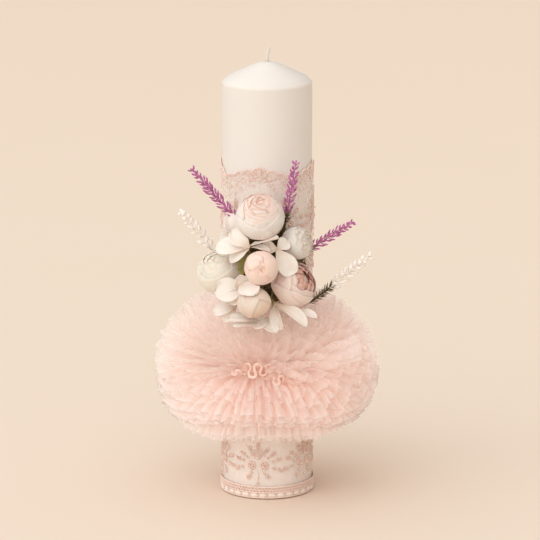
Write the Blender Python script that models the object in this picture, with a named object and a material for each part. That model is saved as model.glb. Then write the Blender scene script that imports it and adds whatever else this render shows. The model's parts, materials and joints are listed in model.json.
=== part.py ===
"""Unity candle: a pillar candle in a lace sleeve, with a tulle ruff and a posy of fabric flowers.

The candle stands on z = 0 with its axis on +Z.  The posy faces -Y.  Every length is in metres.
Angles round the candle are degrees from the front, growing towards +X.
"""
import math

import bmesh
import bpy
from mathutils import Vector

# Wax, wick and the metal disc under the wick
WAX_RADIUS = 0.035
SHOULDER_Z = 0.3285
SHOULDER_ROUND = 0.003
CONE_TOP_Z = 0.3445
WICK_BORE = 0.0014
WICK_RADIUS = 0.0011
WICK_TOP_Z = 0.3535
DISC_RADIUS = 0.010
DISC_THICKNESS = 0.0004
NECK_RADIUS = 0.0020
NECK_TOP_Z = 0.0055

# Lace sleeve, its corded top edge and the crocheted hem
LACE_INNER = 0.0353
LACE_OUTER = 0.0359
LACE_VALLEY_Z = 0.2560
FESTOON_RISE = 0.0088
FESTOON_ANGLE = 82.0
FESTOON_START = -57.0
SCALLOPS = 5
SCALLOP_RISE = 0.0012
EDGE_CORD_RADIUS = 0.0006
HEM_INNER = 0.0362
HEM_OUTER = 0.0370
HEM_TOP_Z = 0.0110
PICOTS = 20

# Tulle ruff: two gathered tiers that spring from one line round the candle
GATHER_RADIUS = 0.0376
GATHER_Z = 0.1040
BAND_INNER = 0.0362
BAND_OUTER = 0.0371
BAND_HALF = 0.0060
GATHER_CORD = 0.0007
RUFF_REACH = 0.0500
RUFF_FOLDS = 24
FOLD_DEPTH = 0.0035

# Posy: felt backing and moss pad that carry the stems
BACK_INNER = 0.0362
BACK_OUTER = 0.0377
BACK_SPREAD = 36.0
MOSS_INNER = 0.0380
MOSS_THICKNESS = 0.0045
MOSS_SPREAD = 42.0
MOSS_LOW_Z = 0.1580
MOSS_HIGH_Z = 0.2280

GAP = 0.0003


def clear_scene():
    for item in list(bpy.data.objects):
        bpy.data.objects.remove(item)


def material(name, colour, roughness, metallic=0.0, sheen=0.0):
    made = bpy.data.materials.new(name)
    made.use_nodes = True
    shader = made.node_tree.nodes["Principled BSDF"]
    shader.inputs["Base Color"].default_value = (*colour, 1.0)
    shader.inputs["Roughness"].default_value = roughness
    shader.inputs["Metallic"].default_value = metallic
    shader.inputs["Sheen Weight"].default_value = sheen
    made.diffuse_color = (*colour, 1.0)
    return made


def skin(name, rings, look, loop=False, origin=(0.0, 0.0, 0.0)):
    """One closed body through equal rings: joined end to end as a loop, or capped at both ends."""
    count = len(rings[0])
    start = Vector(origin)
    verts = [Vector(point) - start for ring in rings for point in ring]
    faces = []
    for i in range(len(rings) if loop else len(rings) - 1):
        a, b = i * count, (i + 1) % len(rings) * count
        for j in range(count):
            k = (j + 1) % count
            faces.append((a + j, a + k, b + k, b + j))
    if not loop:
        faces.append(tuple(reversed(range(count))))
        faces.append(tuple(range(len(verts) - count, len(verts))))
    mesh = bpy.data.meshes.new(name)
    mesh.from_pydata(verts, [], faces)
    shape = bmesh.new()
    shape.from_mesh(mesh)
    bmesh.ops.recalc_face_normals(shape, faces=shape.faces)
    shape.to_mesh(mesh)
    shape.free()
    mesh.shade_smooth()
    mesh.set_sharp_from_angle(angle=math.radians(40.0))
    mesh.materials.append(look)
    made = bpy.data.objects.new(name, mesh)
    made.location = start
    bpy.context.collection.objects.link(made)
    return made


def around(angle, radius, z):
    """Point at an angle from the front of the candle."""
    turn = math.radians(angle)
    return Vector((radius * math.sin(turn), -radius * math.cos(turn), z))


def circle(radius, z, sides):
    return [around(360.0 * i / sides, radius, z) for i in range(sides)]


def turned(name, profile, sides, look):
    """Ring-shaped body turned from a closed outline of (radius, z) pairs."""
    return skin(name, [circle(radius, z, sides) for radius, z in profile], look, loop=True)


def frame_along(direction):
    """Two unit vectors square to a direction, the second pointing as far up as it can."""
    ahead = Vector(direction).normalized()
    side = ahead.cross(Vector((0.0, 0.0, 1.0)))
    if side.length < 0.01:
        side = Vector((1.0, 0.0, 0.0))
    side.normalize()
    return side, side.cross(ahead).normalized()


def curve_points(start, leaving, end, arriving, steps):
    """Points and directions along a bent stem that leaves start and arrives at end on given headings."""
    pull = 0.38 * (end - start).length
    near, far = start + leaving * pull, end - arriving * pull
    out = []
    for i in range(steps + 1):
        t = i / steps
        s = 1.0 - t
        point = start * s ** 3 + near * 3 * s * s * t + far * 3 * s * t * t + end * t ** 3
        ahead = (near - start) * s * s + (far - near) * 2 * s * t + (end - far) * t * t
        out.append((point, ahead.normalized()))
    return out


def stem_rings(path, radii, sides):
    rings = []
    for (point, ahead), radius in zip(path, radii):
        side, up = frame_along(ahead)
        rings.append(
            [
                point + radius * (math.cos(2 * math.pi * i / sides) * side
                                  + math.sin(2 * math.pi * i / sides) * up)
                for i in range(sides)
            ]
        )
    return rings


# ---------------------------------------------------------------- candle


def wax_profile():
    """Outline of the wax: foot, wall, rounded shoulder, shallow cone, wick bore, recess for the disc."""
    outline = [(DISC_RADIUS + GAP, 0.0), (WAX_RADIUS - 0.0006, 0.0), (WAX_RADIUS, 0.0006)]
    slope = math.atan2(CONE_TOP_Z - SHOULDER_Z, WAX_RADIUS)
    for i in range(4):
        turn = (math.pi / 2 - slope) * i / 3
        outline.append(
            (
                WAX_RADIUS - SHOULDER_ROUND * (1 - math.cos(turn)),
                SHOULDER_Z - SHOULDER_ROUND * (1 - math.sin(turn)),
            )
        )
    outline += [(0.022, 0.3348), (0.010, 0.3404), (0.004, 0.3434), (0.0022, 0.3445), (WICK_BORE, 0.3443)]
    neck = NECK_RADIUS + 0.0004
    outline += [(WICK_BORE, NECK_TOP_Z + 0.0006), (neck, NECK_TOP_Z + 0.0005)]
    return outline + [(neck, DISC_THICKNESS + 0.0004), (DISC_RADIUS + GAP, DISC_THICKNESS + 0.0004)]


def build_candle(looks):
    turned("wax_pillar", wax_profile(), 64, looks["wax"])
    bend = [(0.0, 0.0010), (0.0, 0.170), (0.0, 0.3440), (0.0004, 0.3480), (0.0012, 0.3515), (0.0018, WICK_TOP_Z)]
    path = [(Vector((x, 0.0, z)), Vector((0.0, 0.0, 1.0))) for x, z in bend]
    skin("wick", stem_rings(path, [WICK_RADIUS] * 5 + [0.0008], 10), looks["wick_cotton"])
    stack = [(DISC_RADIUS, 0.0), (DISC_RADIUS, DISC_THICKNESS), (NECK_RADIUS, DISC_THICKNESS)]
    stack += [(NECK_RADIUS, NECK_TOP_Z), (WICK_BORE, NECK_TOP_Z), (WICK_BORE, DISC_THICKNESS + 0.0002)]
    skin("wick_sustainer", [circle(r, z, 32) for r, z in stack], looks["steel"])


# ---------------------------------------------------------------- lace


def lace_top(angle):
    """Height of the festooned top edge at an angle, in -180 to 180."""
    part = ((angle - FESTOON_START) % FESTOON_ANGLE) / FESTOON_ANGLE
    swag = math.sin(math.pi * part) ** 0.7
    return LACE_VALLEY_Z + FESTOON_RISE * swag + SCALLOP_RISE * abs(math.sin(SCALLOPS * math.pi * part))


def build_lace(looks):
    columns = [-180.0 + 360.0 * (i + 0.5) / 110 for i in range(110)]
    walls, cord = [], []
    for angle in columns:
        top = lace_top(angle)
        levels = (0.0005, top)
        ring = [around(angle, LACE_OUTER, z) for z in levels]
        walls.append(ring + [around(angle, LACE_INNER, z) for z in reversed(levels)])
        centre = LACE_OUTER + 0.0004 + EDGE_CORD_RADIUS
        cord.append(
            [
                around(
                    angle,
                    centre + EDGE_CORD_RADIUS * math.cos(2 * math.pi * k / 5),
                    top - EDGE_CORD_RADIUS + EDGE_CORD_RADIUS * math.sin(2 * math.pi * k / 5),
                )
                for k in range(5)
            ]
        )
    skin("lace_sleeve", walls, looks["lace"], loop=True)
    skin("lace_edge_cord", cord, looks["lace"], loop=True)
    hem = []
    for i in range(PICOTS * 4):
        angle = -180.0 + 90.0 * i / PICOTS
        top = HEM_TOP_Z - 0.0012 * abs(math.sin(math.pi * i / 4))
        ring = [(HEM_OUTER, 0.0005), (HEM_OUTER, top), (HEM_INNER, top), (HEM_INNER, 0.0005)]
        hem.append([around(angle, radius, z) for radius, z in ring])
    skin("lace_hem", hem, looks["lace"], loop=True)


# ---------------------------------------------------------------- tulle


def ruff_tier(low, high, sign, phase):
    """Rings of one gathered tier, fanned between two angles about the gather line."""
    rings, columns = [], RUFF_FOLDS * 4
    for i in range(columns):
        angle = -180.0 + 360.0 * i / columns
        wave = math.sin(2 * math.pi * i / 4 + phase) + 0.5 * math.sin(math.radians(7 * angle) + phase)
        start, end = low(angle), high(angle)
        reach = RUFF_REACH - (0.009 * math.exp(-((angle / 45.0) ** 2)) if sign > 0 else 0.0)
        outline = [(0.0025, end), (0.0025, start)]
        outline += [(reach * 0.55, start + 0.7 * wave)]
        for k in range(4):
            fan = start + (end - start) * k / 3
            outline.append((reach + FOLD_DEPTH * wave * (1 - 0.2 * k), fan + (1.2 * wave if k == 0 else 0.0)))
        ring = []
        for distance, fan in outline:
            tilt = math.radians(fan)
            ring.append(
                around(angle, GATHER_RADIUS + distance * math.cos(tilt), GATHER_Z + sign * distance * math.sin(tilt))
            )
        rings.append(ring)
    return rings


def build_tulle(looks):
    low, high = GATHER_Z - BAND_HALF, GATHER_Z + BAND_HALF
    band = [(BAND_OUTER, low), (BAND_OUTER, high), (BAND_INNER, high), (BAND_INNER, low)]
    turned("tulle_band", band, 48, looks["tulle"])
    centre = BAND_OUTER + 0.0004 + GATHER_CORD
    cord = []
    for k in range(4):
        turn = math.pi * k / 2
        cord.append((centre + GATHER_CORD * math.cos(turn), GATHER_Z + GATHER_CORD * math.sin(turn)))
    turned("tulle_cord", cord, 40, looks["tulle"])

    def upper_face(angle):
        return 3.0 + 53.0 * math.exp(-((angle / 34.0) ** 2))

    def lower_face(angle):
        return 3.0 + 27.0 * math.exp(-((angle / 50.0) ** 2))

    upper = ruff_tier(upper_face, lambda angle: 87.0, 1.0, 0.0)
    lower = ruff_tier(lower_face, lambda angle: 87.0, -1.0, 1.2)
    skin("tulle_ruffle_upper", upper, looks["tulle"], loop=True)
    skin("tulle_ruffle_lower", lower, looks["tulle"], loop=True)


# ---------------------------------------------------------------- posy


def moss_radius(angle, z):
    """Outer radius of the moss pad, thickest at its middle, thin at its rim."""
    u = angle / MOSS_SPREAD
    v = (2 * z - MOSS_LOW_Z - MOSS_HIGH_Z) / (MOSS_HIGH_Z - MOSS_LOW_Z)
    swell = math.sqrt(max(0.0, (1 - u ** 4) * (1 - v ** 4)))
    lumps = 0.0003 * math.sin(angle * 0.9) * math.sin(z * 900.0)
    return MOSS_INNER + 0.0008 + (MOSS_THICKNESS + lumps) * swell


def build_pads(looks):
    rings = []
    for i in range(13):
        angle = BACK_SPREAD * (i / 6 - 1)
        trim = 0.012 * (abs(angle) / BACK_SPREAD) ** 4
        low, high = MOSS_LOW_Z - 0.003 + trim, MOSS_HIGH_Z + 0.001 - trim
        ring = [(BACK_OUTER, low), (BACK_OUTER, high), (BACK_INNER, high), (BACK_INNER, low)]
        rings.append([around(angle, radius, z) for radius, z in ring])
    skin("corsage_backing", rings, looks["felt"])
    rings = []
    for i in range(13):
        angle = MOSS_SPREAD * (i / 6 - 1)
        trim = 0.016 * (abs(angle) / MOSS_SPREAD) ** 4
        low, high = MOSS_LOW_Z + trim, MOSS_HIGH_Z - trim
        levels = [low + (high - low) * k / 9 for k in range(10)]
        ring = [around(angle, moss_radius(angle, z), z) for z in levels]
        rings.append(ring + [around(angle, MOSS_INNER, z) for z in reversed(levels)])
    skin("moss_pad", rings, looks["moss"])


def on_moss(angle, z):
    """Foot of a stem just clear of the moss, and the outward heading there."""
    return around(angle, moss_radius(angle, z) + 0.0007, z), around(angle, 1.0, 0.0)


def flower(name, centre, axis, sizes, turns, rims, anchor, look, green):
    """A head of one long wound petal about a heart, on a calyx and stem that rise from the moss.

    sizes: heart radius and outer radius; rims: how far the winding reaches round the ball, inside and
    outside, in degrees from the stem; anchor: angle and height of the stem's foot on the moss.
    """
    centre, ahead = Vector(centre), Vector(axis).normalized()
    side, up = frame_along(ahead)
    heart, outer = sizes

    def on_ball(radius, tilt, turn):
        tilt = math.radians(tilt)
        across = math.cos(turn) * side + math.sin(turn) * up
        return centre + radius * (math.sin(tilt) * across - math.cos(tilt) * ahead)

    rings = [[on_ball(heart - GAP, tilt, math.pi * k / 5) for k in range(10)] for tilt in (20, 55, 90, 125, 160)]
    skin(name + "_heart", rings, look)

    step, rings = 14, []
    thick = 0.32 * (outer - heart) / turns
    for i in range(int(step * turns) + 1):
        turn = 2 * math.pi * i / step
        part = i / (step * turns)
        radius = heart + 0.0006 + (outer - heart - thick - 0.0006) * part
        rim = rims[0] + (rims[1] - rims[0]) * part + 9.0 * abs(math.sin(turn * 1.25))
        tilts = [34 + (rim - 34) * k / 3 for k in range(4)]
        ring = [on_ball(radius + thick, tilt, turn) for tilt in tilts]
        rings.append(ring + [on_ball(radius, tilt, turn) for tilt in reversed(tilts)])
    skin(name + "_petals", rings, look)

    top = centre - ahead * (heart + 0.0004)
    cup = [top - ahead * back for back in (0.0, 0.0012, 0.0035)]
    foot, outward = on_moss(*anchor)
    path = [(point, ahead) for point in cup]
    bend = curve_points(cup[-1], -ahead, foot, -outward, 4)
    path += [(point, -along) for point, along in bend[1:]]
    wide = min(0.0036, 0.42 * heart)
    skin(name + "_stem", stem_rings(path, [wide, wide, 0.0012] + [0.0011] * 4, 8), green)


def floret(name, centre, axis, radius, spin, anchor, look):
    """Four-petalled floret on its own stalk, all one body."""
    centre, ahead = Vector(centre), Vector(axis).normalized()
    side, up = frame_along(ahead)
    foot, outward = on_moss(*anchor)
    bend = curve_points(foot, outward, centre - ahead * 0.0045, ahead, 3)
    rings = stem_rings(bend, [0.0006] * 4, 16)
    layers = [(0.60, -0.0006), (1.0, 0.0008), (1.0, 0.0015), (0.10, -0.0002)]
    for share, height in layers:
        ring = []
        for k in range(16):
            turn = 2 * math.pi * k / 16
            lobe = 0.72 + 0.28 * math.cos(4 * (turn - spin))
            reach = radius * share * (lobe if share > 0.5 else 1.0)
            lift = height + 0.0012 * share * math.sin(2 * (turn - spin))
            ring.append(centre + reach * (math.cos(turn) * side + math.sin(turn) * up) + lift * ahead)
        rings.append(ring)
    skin(name, rings, look)


def leaf(name, anchor, base, tip, width, look):
    """Jagged pointed leaf with its stalk."""
    foot, base, tip = on_moss(*anchor)[0], Vector(base), Vector(tip)
    steps = [(foot, 0.0005), (foot.lerp(base, 0.5), 0.0005), (base, 0.0006)]
    for k, share in enumerate((0.55, 0.8, 0.9, 0.75, 0.68, 0.4, 0.35, 0.08)):
        steps.append((base.lerp(tip, (k + 1) / 8), width * share / 2))
    rings = []
    side, up = frame_along(tip - base)
    for point, half in steps:
        flat = min(half, 0.00045)
        rings.append([point + half * side, point + flat * up, point - half * side, point - flat * up])
    skin(name, rings, look)


def sprig(name, anchor, pivot, tip, bend, radius, looks):
    """Fixed stub rising from the moss and, past a small gap, the flowering spike that swings."""
    (foot, outward), pivot, tip = on_moss(*anchor), Vector(pivot), Vector(tip)
    ahead = (tip - pivot + Vector(bend)).normalized()
    path = curve_points(foot, outward, pivot - ahead * 0.0002, ahead, 3)
    skin(name + "_stub", stem_rings(path, [0.0007] * 4, 6), looks["stem_green"])
    path = curve_points(pivot + ahead * 0.0002, ahead, tip, (tip - pivot - Vector(bend)).normalized(), 20)
    radii = [0.0007] * 3
    for i in range(3, 21):
        part = (i - 3) / 17
        full = radius * (1.0 - 0.55 * part ** 1.5)
        radii.append(full if i % 2 else full * 0.45)
    radii[-1] = 0.0006
    look = looks["lavender" if name.startswith("lavender") else "white_sprig"]
    skin(name, stem_rings(path, radii, 6), look, origin=pivot)


def build_flowers(looks):
    green = looks["stem_green"]
    flower("ranunculus_blush", (-0.0053, -0.0640, 0.2337), (0.06, -0.78, 0.62), (0.0080, 0.0188), 3.2,
           (150, 96), (-6, 0.2200), looks["petal_blush"], green)
    flower("ranunculus_white", (0.0230, -0.0530, 0.2108), (0.50, -0.68, 0.54), (0.0055, 0.0130), 2.5,
           (148, 100), (22, 0.2090), looks["petal_white"], green)
    flower("peony_pink", (0.0205, -0.0605, 0.1797), (0.56, -0.62, 0.55), (0.0080, 0.0188), 3.0,
           (126, 84), (18, 0.1780), looks["petal_pink"], green)
    flower("peony_cream", (-0.0361, -0.0500, 0.1873), (-0.25, -0.75, 0.61), (0.0078, 0.0178), 3.0,
           (132, 88), (-34, 0.1750), looks["petal_cream"], green)
    flower("bud_peach", (-0.0046, -0.0820, 0.1981), (0.02, -0.97, 0.24), (0.0060, 0.0130), 2.5,
           (158, 122), (-4, 0.1960), looks["petal_peach"], green)
    flower("bud_cream", (-0.0099, -0.0820, 0.1699), (-0.12, -0.88, 0.45), (0.0060, 0.0130), 2.5,
           (158, 122), (-9, 0.1700), looks["petal_cream"], green)


def build_florets(looks):
    look = looks["petal_hydrangea"]
    floret("hydrangea_1", (-0.0160, -0.0705, 0.2115), (-0.15, -0.85, 0.45), 0.0074, 0.8, (-16, 0.2070), look)
    floret("hydrangea_2", (-0.0285, -0.0500, 0.2235), (-0.45, -0.80, 0.40), 0.0080, 0.2, (-28, 0.2120), look)
    floret("hydrangea_3", (0.0067, -0.0700, 0.2075), (0.25, -0.95, 0.10), 0.0080, 0.5, (7, 0.2040), look)
    floret("hydrangea_4", (-0.0212, -0.0690, 0.1805), (-0.15, -0.95, 0.20), 0.0066, 0.1, (-21, 0.1800), look)
    floret("hydrangea_5", (-0.0112, -0.0700, 0.1535), (-0.10, -0.80, -0.30), 0.0088, 0.7, (-12, 0.1630), look)
    floret("hydrangea_6", (0.0040, -0.0690, 0.1540), (0.10, -0.90, -0.25), 0.0082, 0.3, (5, 0.1650), look)
    floret("hydrangea_7", (0.0190, -0.0670, 0.1555), (0.30, -0.90, -0.10), 0.0070, 0.0, (18, 0.1640), look)
    floret("hydrangea_8", (-0.0260, -0.0640, 0.1590), (-0.40, -0.85, -0.10), 0.0080, 0.6, (-26, 0.1640), look)


def build_greenery(looks):
    leaf("leaf_left", (-17, 0.1970), (-0.0180, -0.0570, 0.1930), (-0.0225, -0.0690, 0.1975), 0.0085, looks["leaf"])
    leaf("leaf_low", (6, 0.1740), (0.0030, -0.0590, 0.1700), (0.0010, -0.0720, 0.1640), 0.0070, looks["leaf"])
    leaf("leaf_right", (26, 0.1990), (0.0260, -0.0500, 0.1965), (0.0370, -0.0570, 0.1975), 0.0070, looks["leaf"])
    sprig("lavender_left", (-24, 0.2200), (-0.0253, -0.0460, 0.2297), (-0.0580, -0.0500, 0.2677),
          (0.001, 0.0, 0.002), 0.0042, looks)
    sprig("lavender_top", (13, 0.2150), (0.0138, -0.0445, 0.2237), (0.0213, -0.0500, 0.2732),
          (0.002, 0.0, 0.0), 0.0036, looks)
    sprig("lavender_right", (33, 0.1960), (0.0301, -0.0380, 0.2010), (0.0660, -0.0430, 0.2253),
          (0.001, 0.0, -0.002), 0.0038, looks)
    sprig("white_left", (-38, 0.1920), (-0.0388, -0.0270, 0.1958), (-0.0663, -0.0330, 0.2302),
          (0.001, 0.0, 0.001), 0.0038, looks)
    sprig("white_right", (31, 0.1680), (0.0325, -0.0420, 0.1607), (0.0793, -0.0440, 0.1993),
          (0.002, 0.0, -0.003), 0.0040, looks)


def make_looks():
    plain = {
        "wax": ((0.88, 0.84, 0.77), 0.45),
        "wick_cotton": ((0.85, 0.82, 0.74), 0.9),
        "lace": ((0.90, 0.66, 0.56), 0.8),
        "tulle": ((0.93, 0.70, 0.58), 0.75),
        "felt": ((0.86, 0.80, 0.72), 0.95),
        "moss": ((0.15, 0.14, 0.06), 0.95),
        "petal_blush": ((0.86, 0.74, 0.68), 0.75),
        "petal_white": ((0.90, 0.87, 0.80), 0.75),
        "petal_pink": ((0.84, 0.58, 0.52), 0.75),
        "petal_cream": ((0.88, 0.80, 0.70), 0.75),
        "petal_peach": ((0.90, 0.66, 0.54), 0.75),
        "petal_hydrangea": ((0.90, 0.87, 0.82), 0.75),
        "stem_green": ((0.20, 0.22, 0.09), 0.8),
        "leaf": ((0.28, 0.24, 0.06), 0.7),
        "lavender": ((0.45, 0.09, 0.26), 0.8),
        "white_sprig": ((0.84, 0.76, 0.68), 0.8),
    }
    looks = {name: material(name, colour, rough, sheen=0.2) for name, (colour, rough) in plain.items()}
    looks["steel"] = material("steel", (0.62, 0.62, 0.60), 0.35, metallic=1.0)
    return looks


clear_scene()
LOOKS = make_looks()
build_candle(LOOKS)
build_lace(LOOKS)
build_tulle(LOOKS)
build_pads(LOOKS)
build_flowers(LOOKS)
build_florets(LOOKS)
build_greenery(LOOKS)
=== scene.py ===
"""Unity candle: looks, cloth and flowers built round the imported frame."""
import json
import math
import bpy
import numpy as np
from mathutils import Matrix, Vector


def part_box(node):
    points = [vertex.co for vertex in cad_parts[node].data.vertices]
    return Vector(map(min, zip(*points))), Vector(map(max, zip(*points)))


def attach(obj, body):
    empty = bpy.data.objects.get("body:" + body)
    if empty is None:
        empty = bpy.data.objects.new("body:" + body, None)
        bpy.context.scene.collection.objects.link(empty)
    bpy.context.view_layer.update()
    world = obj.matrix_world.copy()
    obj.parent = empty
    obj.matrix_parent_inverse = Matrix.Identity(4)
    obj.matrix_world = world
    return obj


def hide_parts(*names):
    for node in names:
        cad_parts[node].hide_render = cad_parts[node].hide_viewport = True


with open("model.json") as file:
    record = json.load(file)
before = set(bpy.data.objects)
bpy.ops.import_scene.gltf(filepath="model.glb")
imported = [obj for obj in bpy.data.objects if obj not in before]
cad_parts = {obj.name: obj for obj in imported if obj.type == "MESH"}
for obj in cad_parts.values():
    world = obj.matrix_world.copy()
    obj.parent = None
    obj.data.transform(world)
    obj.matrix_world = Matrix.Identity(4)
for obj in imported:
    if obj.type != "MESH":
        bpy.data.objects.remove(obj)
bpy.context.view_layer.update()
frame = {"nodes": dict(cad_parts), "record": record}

MM = 0.001
TAU = 2 * math.pi
GOLDEN = 2.39996  # golden angle, which spreads leaves evenly
ROOT = "candle"


# ---------------------------------------------------------------- numbers and curves


def srgb(r, g, b):
    """Linear colour from 0-255 screen values."""
    c = np.array([r, g, b], float) / 255
    return tuple(np.where(c <= 0.04045, c / 12.92, ((c + 0.055) / 1.055) ** 2.4))


def smooth(lo, hi, x):
    t = np.clip((x - lo) / (hi - lo), 0, 1)
    return t * t * (3 - 2 * t)


def unit(v):
    v = np.asarray(v, float)
    return v / np.maximum(np.linalg.norm(v, axis=-1, keepdims=True), 1e-12)


def wobble(x, seed, waves):
    """Smooth periodic noise: a sum of sines of whole frequencies with seeded phases, about -1 to 1."""
    rng = np.random.default_rng(seed)
    out = sum(np.sin(k * x + rng.uniform(0, TAU)) * rng.uniform(0.6, 1.0) for k in waves)
    return out / len(waves) ** 0.5


def around(theta, radius, z):
    """Points at angles in radians from the front of the candle, growing towards +X."""
    theta, radius, z = np.broadcast_arrays(theta, radius, z)
    return np.stack([radius * np.sin(theta), -radius * np.cos(theta), z], -1)


def level_out(point):
    """Level direction from the candle's axis through a point."""
    return unit(np.array([point[0], point[1], 0.0]))

def basis(axis, hint=(0, 0, 1)):
    """Two unit vectors square to an axis: sideways, and as near the hint as possible."""
    axis = unit(axis)
    side = np.cross(axis, hint)
    if np.linalg.norm(side) < 1e-3:
        side = np.cross(axis, (1, 0, 0))
    side = unit(side)
    return side, unit(np.cross(side, axis))


def bezier(a, da, b, db, n, pull=0.38):
    a, b = np.asarray(a, float), np.asarray(b, float)
    reach = pull * np.linalg.norm(b - a)
    p, q = a + unit(da) * reach, b - unit(db) * reach
    t = np.linspace(0, 1, n)[:, None]
    s = 1 - t
    return a * s ** 3 + p * 3 * s * s * t + q * 3 * s * t * t + b * t ** 3


# ---------------------------------------------------------------- meshes


def quads(rows, cols, wrap=False):
    """Faces of a grid stored row by row; wrap joins the last column to the first."""
    r = np.arange(rows - 1)[:, None] * cols
    c = np.arange(cols if wrap else cols - 1)
    d = (c + 1) % cols
    return np.stack([r + c, r + d, r + cols + d, r + cols + c], -1).reshape(-1, 4)


def cap(tip, first, sides, inward=False):
    """Triangles from a tip to the ring of points that starts at first."""
    near, far = first + np.arange(sides), first + (np.arange(sides) + 1) % sides
    return np.stack([np.full(sides, tip), *((far, near) if inward else (near, far))], -1)

def pairs(u, v):
    """Surface coordinates of a grid, from those of its columns and of its rows."""
    return np.stack(np.broadcast_arrays(u, v), -1)

class Bag:
    """Shapes gathered into one mesh, with a shade value and a surface coordinate at every point."""

    def __init__(self):
        self.points, self.faces, self.shade, self.uv, self.count = [], [], [], [], 0

    def add(self, points, faces, shade=0.5, uv=None):
        points = np.asarray(points, float).reshape(-1, 3)
        for f in faces if isinstance(faces, list) else [faces]:
            self.faces.append(np.asarray(f, np.int64) + self.count)
        self.points.append(points)
        shade = np.asarray(shade, float)
        shade = np.broadcast_to(shade.reshape(-1) if shade.ndim else shade, (len(points),))
        self.shade.append(shade)
        self.uv.append(np.zeros((len(points), 2)) if uv is None else np.asarray(uv, float).reshape(-1, 2))
        self.count += len(points)

    def grid(self, points, shade=0.5, wrap=False, uv=None):
        rows, cols = points.shape[:2]
        self.add(points, quads(rows, cols, wrap), shade, uv)

    def tube(self, path, radii, sides=6, shade=0.5, closed=False):
        """Round tube along a path, with rounded-off ends unless it is closed."""
        path = np.asarray(path, float)
        n = len(path)
        radii = np.broadcast_to(np.asarray(radii, float), (n,))
        if closed:
            ahead = unit(np.roll(path, -1, 0) - np.roll(path, 1, 0))
        else:
            ahead = unit(np.gradient(path, axis=0))
        side = np.zeros((n, 3))
        side[0] = basis(ahead[0])[0]
        for i in range(1, n):
            v = side[i - 1] - ahead[i] * (side[i - 1] @ ahead[i])
            side[i] = unit(v)
        up = np.cross(ahead, side)
        turn = np.arange(sides) * TAU / sides
        ring = np.cos(turn)[None, :, None] * side[:, None] + np.sin(turn)[None, :, None] * up[:, None]
        body = path[:, None] + ring * radii[:, None, None]
        shade = np.broadcast_to(np.asarray(shade, float), (n,))
        if closed:
            self.add(body, quads(n + 1, sides, True) % (n * sides), np.repeat(shade, sides))
            return
        tips = [path[0] - ahead[0] * radii[0] * 0.7, path[-1] + ahead[-1] * radii[-1] * 0.7]
        points = np.concatenate([body.reshape(-1, 3), tips])
        shades = np.concatenate([np.repeat(shade, sides), [shade[0], shade[-1]]])
        end = n * sides
        ends = [cap(end, 0, sides, True), cap(end + 1, end - sides, sides)]
        self.add(points, [quads(n, sides, True), *ends], shades)

    def ball(self, centre, axes, sides=8, rings=5, shade=0.5):
        """Ellipsoid: axes are three half-axis vectors, the third along its pole."""
        a, b, c = (np.asarray(v, float) for v in axes)
        tilt = np.linspace(0, math.pi, rings + 2)[1:-1, None]
        turn = (np.arange(sides) * TAU / sides)[None, :]
        body = (np.sin(tilt) * np.cos(turn))[..., None] * a + (np.sin(tilt) * np.sin(turn))[..., None] * b
        body = np.asarray(centre, float) + body - (np.cos(tilt) + 0 * turn)[..., None] * c
        points = np.concatenate([body.reshape(-1, 3), [centre - c, centre + c]])
        end = rings * sides
        ends = [cap(end, 0, sides, True), cap(end + 1, end - sides, sides)]
        self.add(points, [quads(rings, sides, True), *ends], shade)

    def mesh(self, name):
        points, shade, uv = (np.concatenate(x) for x in (self.points, self.shade, self.uv))
        corners = np.concatenate([f.ravel() for f in self.faces])
        sizes = np.concatenate([np.full(len(f), f.shape[1]) for f in self.faces])
        made = bpy.data.meshes.new(name)
        made.vertices.add(len(points))
        made.vertices.foreach_set("co", points.ravel())
        made.loops.add(len(corners))
        made.loops.foreach_set("vertex_index", corners)
        made.polygons.add(len(sizes))
        made.polygons.foreach_set("loop_start", np.concatenate([[0], np.cumsum(sizes)[:-1]]))
        made.update(calc_edges=True)
        made.validate()
        made.attributes.new("shade", "FLOAT", "POINT").data.foreach_set("value", shade)
        if uv.any():
            layer = made.uv_layers.new(name="run")
            layer.data.foreach_set("uv", uv[corners].ravel())
        made.shade_smooth()
        return made


def piece(name, bag, look, body=ROOT, replaces=(), thickness=0.0):
    """Object from a bag that rides on a body and takes the place of CAD nodes."""
    mesh = bag.mesh(name)
    made = bpy.data.objects.new(name, mesh)
    bpy.context.collection.objects.link(made)
    mesh.materials.append(look)
    if thickness:
        solid = made.modifiers.new("Thickness", "SOLIDIFY")
        solid.thickness, solid.offset = thickness, 0.0
    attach(made, body)
    if replaces:
        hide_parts(*replaces)
    return made


# ---------------------------------------------------------------- materials


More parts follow.
